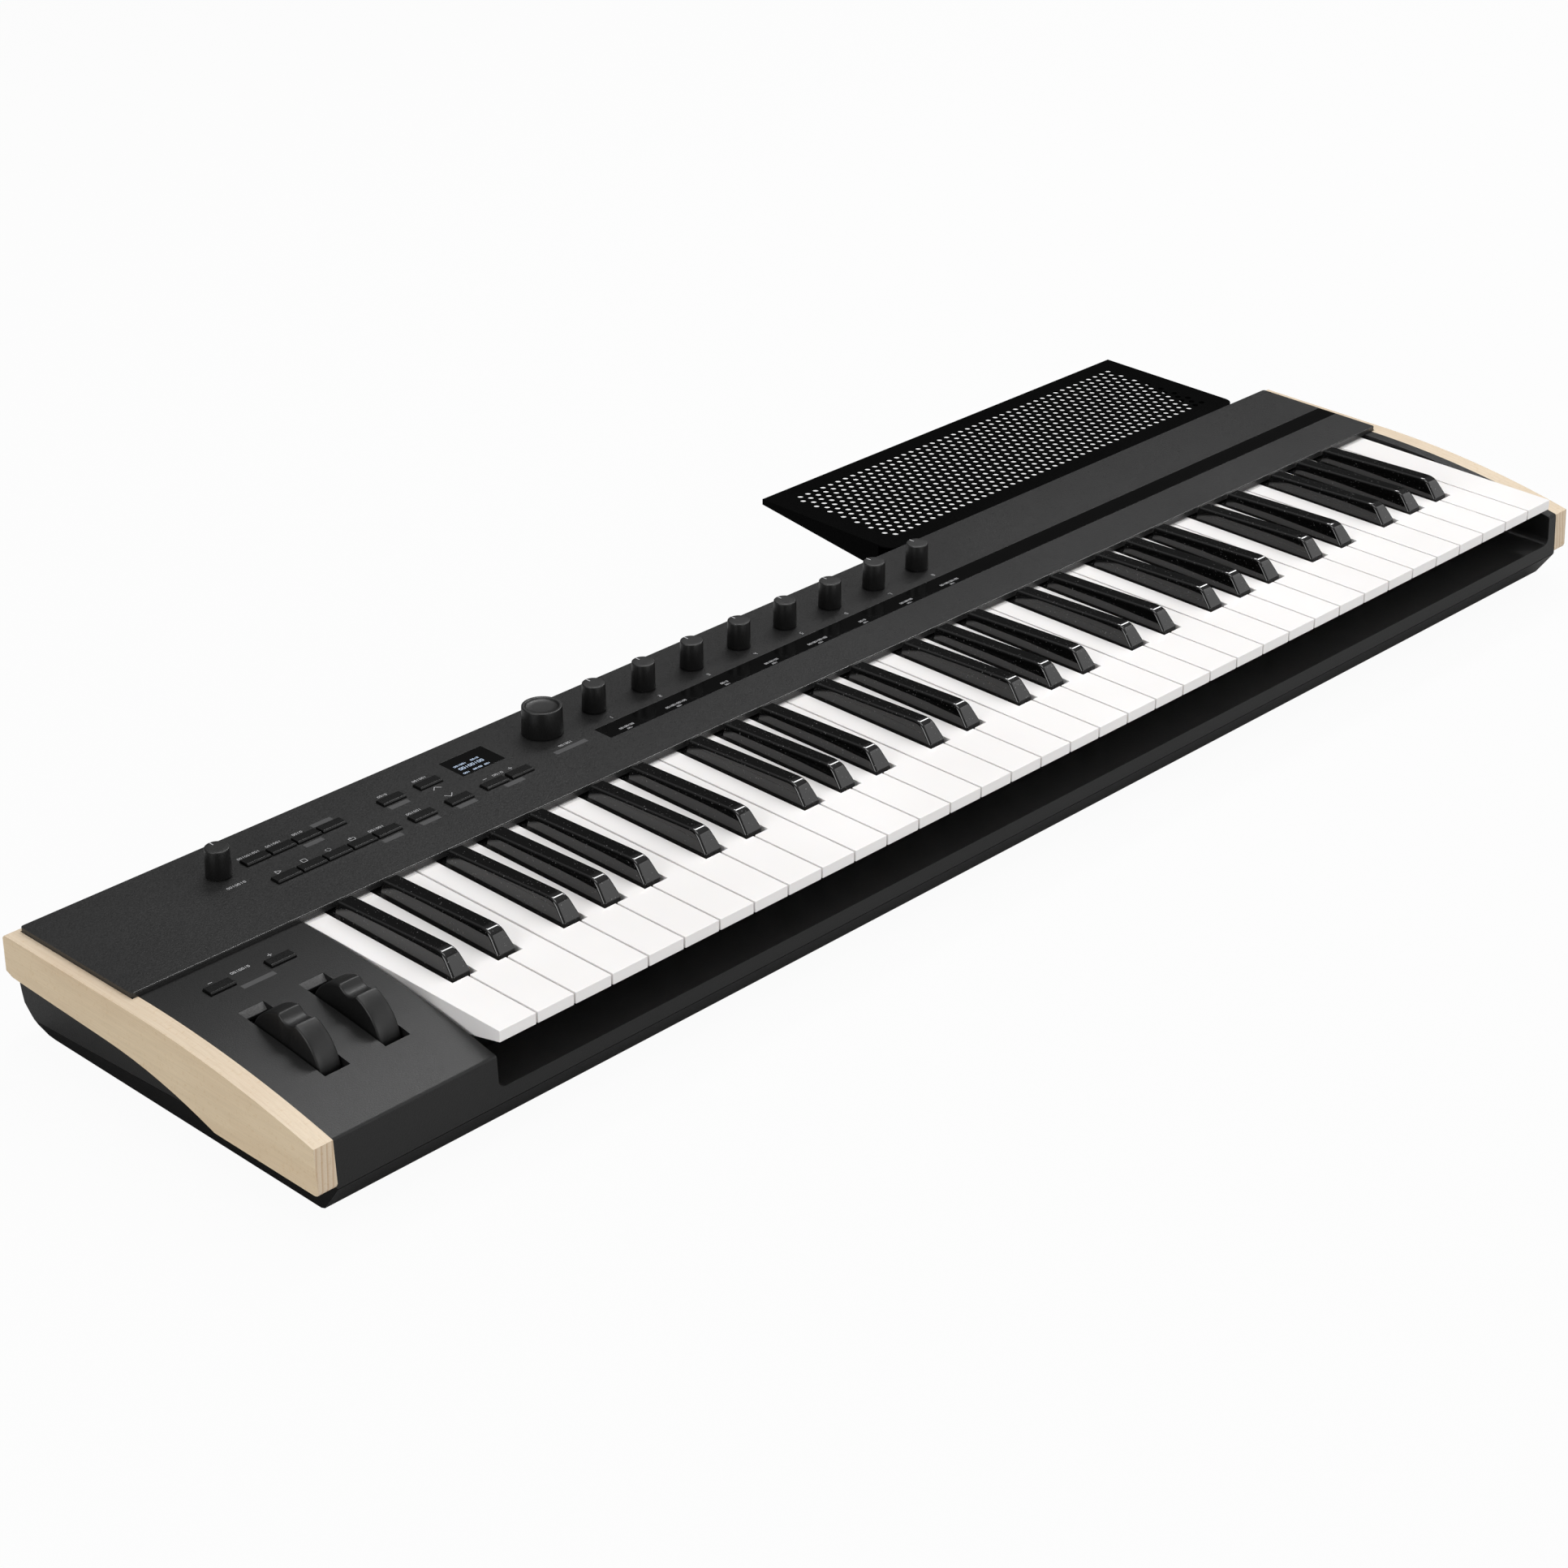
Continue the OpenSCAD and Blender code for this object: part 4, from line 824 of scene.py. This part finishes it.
def make_world():
    """A soft grey sky for the light, and a pale backdrop for the camera."""
    world = bpy.data.worlds.new("studio")
    bpy.context.scene.world = world
    world.use_nodes = True
    tree = world.node_tree
    back = tree.nodes["Background"]
    place = tree.nodes.new("ShaderNodeTexCoord")
    split = tree.nodes.new("ShaderNodeSeparateXYZ")
    ramp = tree.nodes.new("ShaderNodeValToRGB")
    tree.links.new(place.outputs["Generated"], split.inputs["Vector"])
    tree.links.new(split.outputs["Z"], ramp.inputs["Fac"])
    tree.links.new(ramp.outputs["Color"], back.inputs["Color"])
    ramp.color_ramp.elements[0].position = 0.45
    ramp.color_ramp.elements[0].color = (0.06, 0.06, 0.06, 1.0)
    ramp.color_ramp.elements[1].position = 0.95
    ramp.color_ramp.elements[1].color = (0.75, 0.75, 0.75, 1.0)
    back.inputs["Strength"].default_value = 0.8
    pale = tree.nodes.new("ShaderNodeBackground")
    pale.inputs["Color"].default_value = (0.98, 0.98, 0.98, 1.0)
    seen = tree.nodes.new("ShaderNodeLightPath")
    mix = tree.nodes.new("ShaderNodeMixShader")
    tree.links.new(seen.outputs["Is Camera Ray"], mix.inputs["Fac"])
    tree.links.new(back.outputs["Background"], mix.inputs[1])
    tree.links.new(pale.outputs["Background"], mix.inputs[2])
    tree.links.new(mix.outputs["Shader"], tree.nodes["World Output"].inputs["Surface"])


FLOOR_HALF = 40.0
# name, place, target, size, power
LIGHTS = [
    ("key", (1.35, 0.7, 1.75), (1.35, 0.0, 0.0), (2.2, 0.25), 25.0),
    ("overhead", (-0.2, -0.1, 2.4), (0.0, 0.0, 0.0), (1.2, 1.2), 14.5),
    ("fill", (1.9, -1.7, 1.5), (0.0, 0.0, 0.0), (2.6, 1.8), 20.0),
    ("left", (-2.2, -0.2, 0.9), (0.0, 0.0, 0.0), (1.4, 1.0), 19.0),
    ("front", (-0.2, -2.4, 0.8), (0.0, 0.0, 0.0), (2.0, 0.8), 18.0),
]


def make_studio():
    """The floor, the world, the lights and a plain view transform."""
    floor_mesh = bpy.data.meshes.new("floor")
    half = FLOOR_HALF
    corners = [(-half, -half, 0), (half, -half, 0), (half, half, 0), (-half, half, 0)]
    floor_mesh.from_pydata(corners, [], [(0, 1, 2, 3)])
    floor = bpy.data.objects.new("floor", floor_mesh)
    bpy.context.scene.collection.objects.link(floor)
    floor_mesh.materials.append(pale_floor("pale_floor"))
    make_world()
    for light in LIGHTS:
        area_light(*light)
    scene = bpy.context.scene
    scene.view_settings.view_transform = "Standard"
    scene.view_settings.exposure = 0.0


make_camera()
make_studio()
